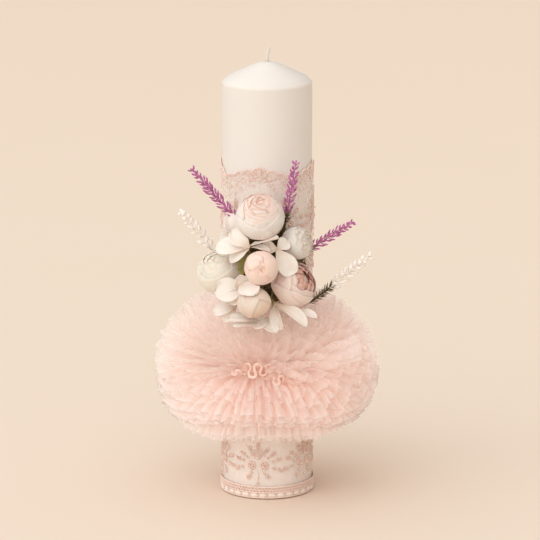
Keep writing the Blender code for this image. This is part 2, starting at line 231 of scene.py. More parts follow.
class Look:
    """A node material: one Principled shader, with helpers to build its colour and bump."""

    def __init__(self, name, roughness=0.6, **sockets):
        self.made = bpy.data.materials.new(name)
        self.made.use_nodes = True
        self.tree = self.made.node_tree
        self.shader = self.tree.nodes["Principled BSDF"]
        self.shader.inputs["Roughness"].default_value = roughness
        for key, value in sockets.items():
            self.shader.inputs[key.replace("_", " ")].default_value = value

    def node(self, kind, inputs=None, **settings):
        made = self.tree.nodes.new(kind)
        for key, value in settings.items():
            setattr(made, key, value)
        for key, value in (inputs or {}).items():
            if isinstance(value, bpy.types.NodeSocket):
                self.tree.links.new(value, made.inputs[key])
            else:
                made.inputs[key].default_value = value
        return made

    def place(self, scale=(1, 1, 1)):
        at = self.node("ShaderNodeTexCoord").outputs["Object"]
        return self.node("ShaderNodeMapping", {"Vector": at, "Scale": scale}).outputs[0]

    def run(self, scale):
        at = self.node("ShaderNodeUVMap", uv_map="run").outputs[0]
        return self.node("ShaderNodeMapping", {"Vector": at, "Scale": scale}).outputs[0]

    def noise(self, scale, detail=3.0, at=None, rough=0.5):
        made = self.node("ShaderNodeTexNoise", {"Scale": scale, "Detail": detail, "Roughness": rough,
                                                "Vector": at or self.place()})
        return made.outputs[0]

    def shade(self):
        return self.node("ShaderNodeAttribute", attribute_name="shade").outputs["Fac"]

    def ramp(self, factor, *stops):
        made = self.node("ShaderNodeValToRGB", {"Fac": factor})
        line = made.color_ramp
        while len(line.elements) < len(stops):
            line.elements.new(0.5)
        for element, (at, colour) in zip(line.elements, stops):
            element.position = at
            element.color = (*colour, 1.0)
        return made.outputs[0]

    def mix(self, factor, a, b):
        """Blend of two colours, each a socket or a tuple."""
        a, b = ((*v, 1.0) if isinstance(v, tuple) else v for v in (a, b))
        return self.node("ShaderNodeMix", {0: factor, 6: a, 7: b}, data_type="RGBA").outputs[2]

    def colour(self, socket):
        self.tree.links.new(socket, self.shader.inputs["Base Color"])

    def rough(self, factor, low, high):
        made = self.node("ShaderNodeMapRange", {"Value": factor, "To Min": low, "To Max": high})
        self.tree.links.new(made.outputs[0], self.shader.inputs["Roughness"])

    def bump(self, height, distance, strength=1.0):
        """Adds a bump; a second call lies on top of the first."""
        feed = {"Height": height, "Distance": distance, "Strength": strength}
        before = self.shader.inputs["Normal"].links
        if before:
            feed["Normal"] = before[0].from_socket
        made = self.node("ShaderNodeBump", feed)
        self.tree.links.new(made.outputs[0], self.shader.inputs["Normal"])
        return self


def wax_look():
    look = Look("wax", 0.36, Subsurface_Weight=0.30, Subsurface_Scale=0.006, Specular_IOR_Level=0.45,
                Coat_Weight=0.12, Coat_Roughness=0.35)
    look.shader.inputs["Subsurface Radius"].default_value = (1.0, 0.75, 0.55)
    cloud = look.noise(9.0, 4.0)
    look.colour(look.ramp(cloud, (0.3, srgb(225, 220, 214)), (0.7, srgb(229, 225, 220))))
    look.rough(look.noise(40.0, 3.0), 0.30, 0.46)
    return look.bump(look.noise(26.0, 2.0), 0.0008, 0.25).bump(look.noise(420.0, 2.0), 0.0002, 0.12).made


def thread_look(name, deep, pale, sheen=0.3, grain=900.0):
    look = Look(name, 0.72, Sheen_Weight=sheen, Sheen_Roughness=0.45)
    weave = look.noise(grain, 3.0, look.place((1, 1, 2.4)))
    patch = look.mix(0.55, look.ramp(look.noise(160.0, 3.0), (0.3, deep), (0.7, pale)),
                     look.ramp(look.shade(), (0.0, deep), (1.0, pale)))
    look.colour(look.mix(look.ramp(weave, (0.35, (0, 0, 0)), (0.65, (0.5, 0.5, 0.5))), patch, pale))
    return look.bump(weave, 0.0003, 0.7).made


def net_look():
    look = Look("lace_net", 0.7, Alpha=0.42, Sheen_Weight=0.2)
    cells = look.node("ShaderNodeTexVoronoi", {"Scale": 620.0, "Vector": look.place()},
                      feature="DISTANCE_TO_EDGE").outputs[0]
    tint = look.ramp(cells, (0.02, srgb(252, 236, 226)), (0.12, srgb(255, 247, 240)))
    look.colour(look.mix(look.ramp(look.noise(30.0), (0.4, (0.1,) * 3), (0.7, (0.5,) * 3)), tint,
                         srgb(254, 242, 234)))
    return look.bump(cells, 0.0004, 0.8).made


def tulle_look(name, deep, pale, alpha, glow):
    """Fine net; glow stands in for the light that many layers of net pass on to each other."""
    look = Look(name, 0.7, Alpha=alpha, Sheen_Weight=0.1, Sheen_Roughness=0.5, Specular_IOR_Level=0.15,
                Emission_Color=(*srgb(255, 214, 199), 1.0), Emission_Strength=glow)
    streak = look.noise(1.0, 4.0, look.run((900.0, 14.0, 1.0)), 0.65)
    # The ramp from deep to pale turns the shade values into colour; on the net these carry painted shade near
    # the gather and in the fold valleys, and a painted highlight on the fold ridges.
    base = look.ramp(look.shade(), (0.0, deep), (0.45, tuple(np.add(deep, pale) / 2)), (1.0, pale))
    look.colour(look.mix(look.ramp(streak, (0.38, (0.0,) * 3), (0.68, (0.55,) * 3)), base,
                         tuple(np.minimum(np.multiply(pale, (1.03, 1.08, 1.1)), 1.0))))
    return look.bump(streak, 0.0006, 0.6).made


def petal_look(name, heart, body, rim, sheen=0.35):
    """Cloth petal: shade runs from heart through body to rim; fine weave and faint veins."""
    look = Look(name, 0.62, Sheen_Weight=sheen, Sheen_Roughness=0.4, Specular_IOR_Level=0.3,
                Subsurface_Weight=0.12, Subsurface_Scale=0.002)
    cloud = look.noise(55.0, 3.0)
    base = look.ramp(look.shade(), (0.0, heart), (0.5, body), (1.0, rim))
    base = look.mix(look.ramp(cloud, (0.42, (0.0,) * 3), (0.75, (0.28,) * 3)), base, rim)
    look.colour(base)
    vein = look.noise(1.0, 3.0, look.run((26.0, 1.6, 1.0)), 0.6)
    weave = look.noise(1500.0, 2.0)
    look.rough(cloud, 0.52, 0.72)
    return look.bump(vein, 0.0006, 0.35).bump(weave, 0.00012, 0.5).made


def plain_look(name, deep, pale, roughness, scale=220.0, sheen=0.0, bump=0.0003):
    look = Look(name, roughness, Sheen_Weight=sheen)
    spots = look.noise(scale, 4.0)
    look.colour(look.mix(0.5, look.ramp(spots, (0.35, deep), (0.7, pale)),
                         look.ramp(look.shade(), (0.0, deep), (1.0, pale))))
    look.rough(spots, roughness - 0.08, min(1.0, roughness + 0.1))
    return look.bump(spots, bump, 0.7).made


def glass_look():
    look = Look("bead_glass", 0.08, Specular_IOR_Level=0.8, Coat_Weight=0.6)
    look.colour(look.ramp(look.noise(300.0), (0.3, srgb(236, 214, 206)), (0.7, srgb(252, 244, 240))))
    return look.bump(look.noise(900.0), 0.0001, 0.3).made


LOOK = {
    "wax": wax_look(),
    "cotton": plain_look("wick_braid", srgb(208, 198, 184), srgb(240, 234, 225), 0.85, 700.0),
    "steel": plain_look("wick_disc_steel", (0.45, 0.45, 0.44), (0.62, 0.62, 0.60), 0.4, 500.0),
    "net": net_look(),
    "lace": thread_look("lace_thread", srgb(225, 192, 177), srgb(237, 215, 204)),
    "edge": thread_look("lace_edge_thread", srgb(238, 208, 196), srgb(248, 230, 221)),
    "braid": thread_look("hem_braid", srgb(227, 198, 184), srgb(243, 224, 213)),
    "satin": thread_look("picot_satin", srgb(230, 212, 200), srgb(240, 231, 222), 0.6),
    # The deep colour is laid near the gather line and in the fold valleys, partly painted shade.
    "tulle": tulle_look("tulle_net", srgb(253, 225, 210), srgb(253, 245, 242), 0.28, 0.055),
    "ruche": tulle_look("tulle_ruche", srgb(250, 214, 198), srgb(255, 232, 222), 0.40, 0.07),
    "rolled": tulle_look("tulle_rolled_edge", srgb(246, 222, 209), srgb(250, 234, 225), 0.62, 0.02),
    "felt": plain_look("backing_felt", srgb(189, 174, 154), srgb(212, 200, 183), 0.95, 500.0, 0.4),
    "moss": plain_look("moss_fibre", srgb(67, 50, 27), srgb(117, 102, 58), 0.9, 300.0),
    "blush": petal_look("petal_blush", srgb(230, 170, 146), srgb(234, 213, 203), srgb(236, 228, 221)),
    "white": petal_look("petal_white", srgb(214, 192, 174), srgb(229, 218, 208), srgb(234, 227, 220)),
    "pink": petal_look("petal_pink", srgb(214, 140, 116), srgb(230, 200, 188), srgb(234, 215, 206)),
    "cream": petal_look("petal_cream", srgb(218, 198, 178), srgb(228, 215, 198), srgb(233, 224, 211)),
    "peach": petal_look("petal_peach", srgb(230, 164, 138), srgb(243, 206, 190), srgb(245, 221, 210)),
    "beige": petal_look("petal_beige", srgb(213, 165, 141), srgb(227, 199, 180), srgb(233, 217, 205)),
    "hydrangea": petal_look("petal_hydrangea", srgb(209, 190, 168), srgb(232, 220, 209), srgb(240, 232, 225)),
    "green": plain_look("stem_green", srgb(54, 52, 25), srgb(109, 102, 54), 0.75),
    "leaf": plain_look("leaf_olive", srgb(102, 95, 36), srgb(157, 148, 71), 0.6, 180.0, 0.2),
    "lavender": plain_look("lavender_bud", srgb(158, 60, 126), srgb(214, 134, 188), 0.8, 500.0, 0.4),
    "sprig": plain_look("white_sprig_bud", srgb(243, 236, 226), srgb(252, 249, 245), 0.7, 500.0, 0.3),
    "glass": glass_look(),
}


# ---------------------------------------------------------------- stage


def make_stage():
    scene = bpy.context.scene
    scene.view_settings.view_transform = "Standard"
    scene.cycles.transparent_max_bounces = 160
    scene.cycles.max_bounces = 32
    scene.cycles.diffuse_bounces = 30

    look = Look("floor_paper", 0.9, Specular_IOR_Level=0.1)
    # Painted shade: the paper turns darker towards the back, standing in for the light falling off with
    # distance.
    depth = look.node("ShaderNodeSeparateXYZ", {"Vector": look.place((0.2, 0.2, 0.2))}).outputs[1]
    painted_falloff = look.node("ShaderNodeMapRange", {"Value": depth, "From Min": -0.1, "From Max": 0.7}).outputs[0]
    near = look.ramp(look.noise(3.0, 3.0), (0.3, srgb(229, 215, 199)), (0.7, srgb(230, 216, 201)))
    look.colour(look.mix(painted_falloff, near, srgb(224, 208, 190)))
    bag = Bag()
    ring = np.linspace(0, TAU, 97)[:-1]
    radii = np.array([0.001, 0.3, 1.0, 3.0, 14.0])
    bag.grid(around(ring[None, :], radii[:, None], 0.0), wrap=True)
    bag.add(around(ring, 0.001, 0.0), np.arange(96)[::-1].reshape(1, 96))
    floor = bpy.data.objects.new("floor", bag.mesh("floor"))
    floor.data.materials.append(look.made)
    bpy.context.collection.objects.link(floor)

    world = bpy.data.worlds.new("Studio")
    scene.world = world
    world.use_nodes = True
    back = world.node_tree.nodes["Background"]
    nodes, links = world.node_tree.nodes, world.node_tree.links
    across = nodes.new("ShaderNodeSeparateXYZ")
    fade = nodes.new("ShaderNodeMapRange")
    for key, value in (("From Min", -0.8), ("From Max", 0.8), ("To Min", 0.77), ("To Max", 0.43)):
        fade.inputs[key].default_value = value
    tint = nodes.new("ShaderNodeValToRGB")
    for element, colour in zip(tint.color_ramp.elements, (srgb(255, 253, 251), srgb(255, 238, 220))):
        element.color = (*colour, 1.0)
    place = nodes.new("ShaderNodeMapRange")
    place.inputs["From Min"].default_value = -1.0
    links.new(across.outputs[0], place.inputs["Value"])
    links.new(place.outputs[0], tint.inputs[0])
    links.new(tint.outputs[0], back.inputs[0])
    links.new(nodes.new("ShaderNodeTexCoord").outputs["Generated"], across.inputs[0])
    links.new(across.outputs[0], fade.inputs["Value"])
    links.new(fade.outputs[0], back.inputs[1])

    def sun(name, place, spread, power, colour):
        data = bpy.data.lights.new(name, "SUN")
        data.angle, data.energy, data.color = math.radians(spread), power, colour
        made = bpy.data.objects.new(name, data)
        made.rotation_euler = (-Vector(place)).to_track_quat("-Z", "Y").to_euler()
        bpy.context.collection.objects.link(made)

    sun("key", (-0.60, -0.90, 0.55), 80.0, 0.98, (1.0, 0.99, 0.98))
    sun("top", (-0.10, -0.20, 1.0), 120.0, 1.22, (1.0, 0.995, 0.99))
    sun("fill", (-0.10, -1.00, 0.20), 90.0, 0.24, (1.0, 0.97, 0.94))

    data = bpy.data.cameras.new("camera")
    data.lens, data.sensor_width, data.clip_end = 227.9, 36.0, 60.0
    camera = bpy.data.objects.new("camera", data)
    camera.location = (0.0, -2.605, 0.801)
    aim = Vector((0.0022, 0.0, 0.1768)) - Vector(camera.location)
    camera.rotation_euler = aim.to_track_quat("-Z", "Y").to_euler()
    bpy.context.collection.objects.link(camera)
    scene.camera = camera


make_stage()


# ---------------------------------------------------------------- wax and wick


WAX_LOW, WAX_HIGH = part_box("wax_pillar")
WAX_R = WAX_HIGH.x
SHOULDER = WAX_HIGH.z - 0.016
WICK_LOW, WICK_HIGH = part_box("wick")
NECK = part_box("wick_sustainer")


def make_wax():
    bore, recess, cols = 0.0015, NECK[1].x + 0.0003, 144
    outline = [(bore, NECK[1].z + 0.0006), (0.0024, NECK[1].z + 0.0006), (0.0024, 0.0008), (recess, 0.0008),
               (recess, 0.0), (WAX_R - 0.0012, 0.0), (WAX_R - 0.0003, 0.0003), (WAX_R, 0.0012)]
    outline += [(WAX_R, z) for z in np.linspace(0.02, SHOULDER - 0.004, 24)]
    for turn in np.linspace(0, 1.15, 9):
        outline.append((WAX_R - 0.0028 * (1 - math.cos(turn)), SHOULDER - 0.0028 * (1 - math.sin(turn))))
    for r in (0.031, 0.028, 0.024, 0.020, 0.016, 0.012, 0.008, 0.005, 0.0032, 0.0022):
        dip = 0.0006 * math.sin(math.pi * r / WAX_R) - 0.0010 * math.exp(-((r - 0.0022) / 0.0016) ** 2)
        drop = (WAX_HIGH.z - SHOULDER - 0.0003) * (r / WAX_R) ** 1.04
        outline.append((r, WAX_HIGH.z - 0.0003 - drop + dip))
    outline.append((bore, WAX_HIGH.z - 0.0018))
    profile = np.array(outline)
    turn = np.linspace(0, TAU, cols + 1)[:-1]
    wave = 1 + 0.0008 * np.sin(3 * turn + 0.4) + 0.0005 * np.sin(5 * turn)
    bag = Bag()
    bag.grid(around(turn[None, :], profile[:, :1] * wave, profile[:, 1:]), wrap=True)
    near, last = np.arange(cols), (len(profile) - 1) * cols
    far = (near + 1) % cols
    bag.faces.append(np.stack([last + near, last + far, far, near], -1))
    wax = piece("wax_body", bag, LOOK["wax"], replaces=["wax_pillar"])
    wax.data.set_sharp_from_angle(angle=math.radians(50))


def wick_line(z):
    return 0.0017 * smooth(WAX_HIGH.z, WICK_HIGH.z + 0.002, z) * np.clip((z - WAX_HIGH.z) / 0.006, 0, 1)


def make_wick():
    bag = Bag()
    z = np.linspace(WICK_LOW.z, WICK_HIGH.z - 0.0004, 420)
    for strand in range(3):
        turn = TAU * (z / 0.0046 + strand / 3)
        path = np.stack([wick_line(z) + 0.00060 * np.cos(turn), 0.00060 * np.sin(turn), z], -1)
        bag.tube(path, 0.00070, 7, 0.4 + 0.2 * strand)
    rng = np.random.default_rng(4)
    top = np.array([wick_line(WICK_HIGH.z - 0.0012), 0.0, WICK_HIGH.z - 0.0012])
    for _ in range(22):
        lean = np.append(rng.normal(0, 0.0005, 2), rng.uniform(0.0004, 0.0013))
        start = top + np.append(rng.normal(0, 0.0003, 2), 0)
        fibre = [start, start + lean * 0.6, start + lean]
        bag.tube(fibre, [0.0001, 0.00008, 0.00004], 4, rng.uniform(0.2, 1))
    piece("wick_braid", bag, LOOK["cotton"], replaces=["wick"])


make_wax()
make_wick()


# ---------------------------------------------------------------- lace


SLEEVE_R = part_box("lace_sleeve")[1].x
LACE_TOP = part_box("lace_sleeve")[1].z
HEM_R, HEM_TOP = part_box("lace_hem")[1].x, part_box("lace_hem")[1].z
FESTOON, FESTOON_START = math.radians(90.0), math.radians(-61.0)
SCALLOP_WIDTHS = np.array([0.0, 0.204, 0.327, 0.468, 0.678, 0.824, 0.949, 1.0])
SCALLOP_DEPTHS = np.array([0.25, 0.9, 1.0, 1.0, 1.0, 0.9, 0.6])
NET_R = SLEEVE_R - 0.0001


def lace_top(theta):
    """Height of the festooned edge: seven scallops in each swag, the one at its middle the largest."""
    part = ((theta - FESTOON_START) % FESTOON) / FESTOON
    swag = np.sin(np.pi * part ** 1.26) ** 0.8
    i = np.clip(np.searchsorted(SCALLOP_WIDTHS, part, side="right") - 1, 0, 6)
    low, high = SCALLOP_WIDTHS[i], SCALLOP_WIDTHS[i + 1]
    lobe = np.sin(np.pi * np.clip((part - low) / (high - low), 0, 1)) ** 0.55
    return LACE_TOP - 0.0099 + 0.0062 * swag + (high - low) * 0.0185 * SCALLOP_DEPTHS[i] * lobe


def on_lace(s, z, lift=0.0):
    """Wraps a flat pattern round the sleeve: s is the distance along the cloth from the front."""
    return around(np.asarray(s) / SLEEVE_R, NET_R + np.asarray(lift), np.asarray(z))


def pad(bag, s, z, length, width, angle, height=0.0006, shade=0.5, sides=9):
    """Satin-stitched leaf: a pointed oval that stands proud of the net."""
    turn = np.arange(sides) * TAU / sides
    along, across = np.cos(turn), np.sin(turn) * (0.75 + 0.25 * np.cos(turn) ** 2)
    ca, sa = math.cos(angle), math.sin(angle)
    rings = []
    for share, lift in ((1.0, 0.0), (0.86, 0.7), (0.45, 1.0)):
        x, y = along * share * length / 2, across * share * width / 2
        rings.append(on_lace(s + x * ca - y * sa, z + x * sa + y * ca, 0.0001 + lift * height))
    points = np.concatenate(rings + [on_lace([s], [z], [0.0001 + height * 1.04])])
    bag.add(points, [quads(3, sides, True), cap(3 * sides, 2 * sides, sides)], shade)


def cord(bag, s, z, radius, shade=0.5, sides=5, lift=0.0):
    bag.tube(on_lace(s, z, radius * 0.8 + lift), radius, sides, shade)


def rose(bag, s, z, radius, rng):
    for count, share, size in ((8, 0.72, 0.62), (6, 0.36, 0.50)):
        for k in range(count):
            a = TAU * k / count + rng.uniform(-0.1, 0.1)
            pad(bag, s + share * radius * math.cos(a), z + share * radius * math.sin(a), size * radius,
                size * radius * 0.8, a + 1.4, 0.0008 + 0.0004 * (size < 0.6), 0.1 + 0.8 * (k % 2))


def fan_out(bag, s, z, angle, leaves, size, rng, spread):
    """A few small stitched leaves that spread from one point."""
    for lean in np.linspace(-spread, spread, leaves):
        a = angle + lean + rng.uniform(-0.1, 0.1)
        reach = size * (1.0 - 0.10 * abs(lean)) * rng.uniform(0.85, 1.1)
        pad(bag, s + math.cos(a) * reach * 0.70, z + math.sin(a) * reach * 0.70, reach, reach * 0.42, a,
            0.0006, rng.uniform(0.0, 1.0))


def spray(bag, s, z, angle, length, size, rng):
    """Curved stitched stem with tufts of leaves near its foot, past its middle and at its tip."""
    lean = angle + rng.uniform(-0.25, 0.25) * np.linspace(0, 1, 7)
    path_s, path_z = s + np.cumsum(np.cos(lean)) * length / 7, z + np.cumsum(np.sin(lean)) * length / 7
    cord(bag, path_s, path_z, 0.00024, 0.4)
    for i, leaves, share, spread in ((1, 4, 0.85, 1.5), (4, 4, 0.95, 1.5), (-1, 5, 1.0, 1.8)):
        fan_out(bag, path_s[i], path_z[i], lean[i], leaves, size * share, rng, spread)


def stone(bag, s, z, radius, lift=0.0004):
    """Small faceted stone on the lace."""
    centre = on_lace(s, z, lift + radius * 0.4)
    out = level_out(centre)
    side = np.cross((0, 0, 1.0), out)
    bag.ball(centre, (side * radius, np.array([0, 0, radius]), out * radius * 0.8), 7, 3, 0.9)


# Sprays on a motif's right: angle in degrees, and how far from the middle each starts and ends, in mm.
SPRAYS = ((62, 7.0, 15.0), (37, 7.5, 16.0), (15, 9.5, 18.0), (-9, 9.5, 19.0), (-50, 5.5, 12.5))

def motif(bag, stones, s, z, rng):
    """Embroidered bouquet: two roses, a tuft above them, sprays fanned round them, a stem with a pearl."""
    for hand in (-1, 1):
        rose(bag, s + hand * 0.0052, z, 0.0039, rng)
        stone(stones, s + hand * 0.0048, z - 0.0004, 0.0008, 0.0012)
        for angle, near, far in SPRAYS:
            a = math.radians(angle if hand > 0 else 180 - angle)
            spray(bag, s + math.cos(a) * near * MM, z + math.sin(a) * near * MM, a, (far - near) * MM,
                  0.0021, rng)
        stone(stones, s + hand * 0.0115, z - 0.0035, 0.0006)
        stone(stones, s + hand * 0.0070, z - 0.0075, 0.0006)
    leaves = 26
    for i in range(leaves):
        a, reach = GOLDEN * i, 0.0048 * math.sqrt((i + 0.5) / leaves)
        pad(bag, s + math.cos(a) * reach, z + 0.0095 + math.sin(a) * reach, 0.0021, 0.0008, a, 0.0007,
            rng.uniform(0, 1))
    spray(bag, s, z + 0.0125, math.radians(90), 0.0045, 0.0022, rng)
    down = np.linspace(0, 1, 6)
    cord(bag, s + 0.0005 * np.sin(down * 4), z - 0.004 - 0.0125 * down, 0.00024, 0.4)
    fan_out(bag, s, z - 0.0135, math.radians(-90), 3, 0.0020, rng, 0.9)
    stone(stones, s, z - 0.0100, 0.0009)
    stone(stones, s, z + 0.0070, 0.0008, 0.0012)


SWAG_MIDDLES = [FESTOON_START + FESTOON * (k + 0.573) for k in range(-3, 3)]

def make_net(theta):
    share = np.linspace(0, 1, 40)[:, None]
    top = lace_top(theta)[None, :]
    net = Bag()
    wave = 0.00015 * np.sin(theta * 23)[None, :] * np.sin(share * 9)
    net.grid(around(theta[None, :] * np.ones_like(share), NET_R - 0.0002 + wave,
                    0.0006 + (top - 0.0006) * share))
    return piece("lace_net", net, LOOK["net"], replaces=["lace_sleeve"])

def make_motifs(stones, rng):
    """Two rows of bouquets below the ruff and two above it."""
    lower, upper = Bag(), Bag()
    rows = ((lower, 0.0275, -12.0), (lower, 0.0640, 21.0), (upper, 0.1850, -12.0), (upper, 0.2210, 21.0))
    for work, z, first in rows:
        for k in range(6):
            angle = first + 65.0 * k
            if angle > 187.0:
                angle -= 390.0
            motif(work, stones, math.radians(angle) * SLEEVE_R, z, rng)
    return [piece("lace_embroidery", lower, LOOK["lace"]),
            piece("lace_embroidery_upper", upper, LOOK["lace"])]

def make_border(rng):
    """Mottled band of small stitched arcs under the edge, with a fan of sprays in each swag."""
    band, length = Bag(), TAU * SLEEVE_R
    for _ in range(800):
        s = rng.uniform(-length / 2, length / 2)
        edge = float(lace_top(s / SLEEVE_R))
        part = ((s / SLEEVE_R - FESTOON_START) % FESTOON) / FESTOON
        deep = 0.013 + 0.010 * abs(2 * part - 1) ** 1.5
        z = edge - 0.0012 - deep * rng.beta(1.0, 1.5)
        turn, reach = rng.uniform(0, TAU), rng.uniform(0.0011, 0.0019)
        arc = turn + np.linspace(0, rng.uniform(2.0, 4.2), 6)
        cord(band, s + reach * np.cos(arc) * 0.8, np.minimum(z + reach * np.sin(arc) * 0.8, edge - 0.0006),
             0.00016, rng.uniform(0, 1), 4)
    for centre in SWAG_MIDDLES:
        if abs(centre) > math.pi - 0.25:
            continue
        s, z = centre * SLEEVE_R, float(lace_top(centre)) - 0.0115
        for a in np.radians([18, 50, 90, 130, 162]):
            spray(band, s + math.cos(a) * 0.0028, z + math.sin(a) * 0.0028, a, 0.0055, 0.0018, rng)
    return piece("lace_border", band, LOOK["edge"])

def make_edge(theta):
    """Corded scallops, with a stitch and a knot at even steps along them."""
    edge = Bag()
    for drop, radius, shade in ((0.0, 0.00036, 0.3), (0.0014, 0.0002, 0.7)):
        cord(edge, theta * SLEEVE_R, lace_top(theta) - drop - radius, radius, shade, 6, 0.0002)
    stitch = np.array([-0.0019, -0.0004])
    for angle in np.linspace(-math.pi, math.pi, 261)[:-1]:
        z = float(lace_top(angle))
        cord(edge, np.full(2, angle * SLEEVE_R) + 0.0002 * stitch, z + stitch * 0.7, 0.00016, 0.7, 4)
        pad(edge, angle * SLEEVE_R, z + 0.0001, 0.0006, 0.0006, 0.0, 0.0005, 0.5, 6)
    return piece("lace_edge", edge, LOOK["edge"], replaces=["lace_edge_cord"])

def make_beads(stones, rng):
    """Bugle beads strewn below each swag, each with a small stone above it."""
    bugles = Bag()
    run = np.array([-1, 1]) * 0.0012
    for centre in SWAG_MIDDLES:
        for step in np.linspace(-1, 1, 13):
            s = centre * SLEEVE_R + step * 0.0155
            z = LACE_TOP - 0.0225 - 0.012 * step ** 2 + rng.uniform(-0.0008, 0.0008)
            a = rng.uniform(0.3, 1.3) * (1 if step > 0 else -1)
            bugles.tube(on_lace(s + run * math.cos(a), z + run * math.sin(a), 0.0006), 0.00042, 7, 0.8)
            stone(stones, s + rng.uniform(-0.002, 0.002), z + 0.0026, 0.00055)
    return [piece("lace_bugle_beads", bugles, LOOK["glass"]),
            piece("lace_stones", stones, LOOK["glass"])]

def make_lace():
    """Gives the net, and a list of what is sewn on it."""
    theta = np.linspace(-math.pi, math.pi, 721)
    sheet = make_net(theta)
    rng, stones = np.random.default_rng(11), Bag()
    embroidery = make_motifs(stones, rng)
    border = make_border(rng)
    rim = make_edge(theta)
    return sheet, embroidery + [rim, border] + make_beads(stones, rng)

def make_hem():
    bag, inserts = Bag(), Bag()
    base = HEM_R - 0.0006
    theta = np.linspace(0, TAU, 361)[:-1]

    def hoop(z, radius, lift=0.0, wave=0.0, count=0, shade=0.5):
        zz = z + wave * np.abs(np.sin(theta * count / 2)) if count else np.full_like(theta, z)
        bag.tube(around(theta, base + lift, zz), radius, 6, shade, closed=True)

    hoop(HEM_TOP - 0.0010, 0.00055, 0.0002, shade=0.7)
    hoop(HEM_TOP - 0.0032, 0.00040, 0.0001, shade=0.4)
    hoop(0.0056, 0.00050, 0.0002, shade=0.6)
    hoop(0.0013, 0.00050, 0.0002, 0.0003, 64, 0.6)
    behind = np.linspace(0.0014, HEM_TOP - 0.0010, 4)[:, None]
    bag.grid(around(theta[None, :], base - 0.0006, behind), 0.3, wrap=True)
    bars = 172
    for k in range(bars):
        a = TAU * k / bars
        z = np.linspace(0.0056, HEM_TOP - 0.0008, 5)
        sway = 0.0032 * np.sin(np.linspace(0, TAU, 5)) * (1 if k % 2 else -1)
        bag.tube(around(a + sway / base * 0.14, base + 0.0001, z), 0.00042, 5, 0.25 + 0.5 * (k % 2))
        bag.tube(around(np.array([a - 0.006, a, a + 0.006]), base + 0.0002,
                        np.array([0.0, 0.0008, 0.0]) + HEM_TOP - 0.0009), 0.00026, 4, 0.7)
    ovals = 32
    ring = np.linspace(0, TAU, 21)[:-1]
    for k in range(ovals):
        a = TAU * (k + 0.5) / ovals
        wide = 0.0033
        oval = around(a + wide * np.cos(ring) / base, base + 0.0002, 0.0034 + 0.0018 * np.sin(ring))
        bag.tube(oval, 0.00032, 5, 0.7, closed=True)
        centre = around(a, base - 0.0001, 0.0034)
        out = level_out(centre)
        side = np.cross((0, 0, 1.0), out)
        inserts.ball(centre, (side * 0.0030, np.array([0, 0, 0.0016]), out * 0.0009), 14, 5, 0.9)
        for share in (0.25, 0.75):
            edge = TAU * (k + share) / ovals
            bar = around(np.array([edge, edge + 0.004]), base + 0.0001, np.array([0.0013, 0.0056]))
            bag.tube(bar, 0.00018, 4, 0.4)
    braid = piece("hem_braid", bag, LOOK["braid"], replaces=["lace_hem"])
    satin = piece("hem_satin", inserts, LOOK["satin"])
    return [braid, satin]


lace_sheet, lace_trim = make_lace()
lace_trim += make_hem()


# ---------------------------------------------------------------- tulle


CORD_LOW, CORD_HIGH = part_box("tulle_cord")
GATHER_R = CORD_HIGH.x - 0.0004
GATHER_Z = (CORD_LOW.z + CORD_HIGH.z) / 2
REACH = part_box("tulle_ruffle_upper")[1].z - GATHER_Z
SWEET = math.radians(-17.0)
FOLD_IN, FOLD_OUT, FOLD_TURN = (6.0, 20.0), (56.0, 63.0), (10.0, 37.0)


def front(theta, centre, width):
    """1 at an angle in degrees from the front, falling smoothly to 0 at a width in degrees."""
    away = (np.degrees(theta) - centre + 180) % 360 - 180
    return np.exp(-((away / width) ** 2))


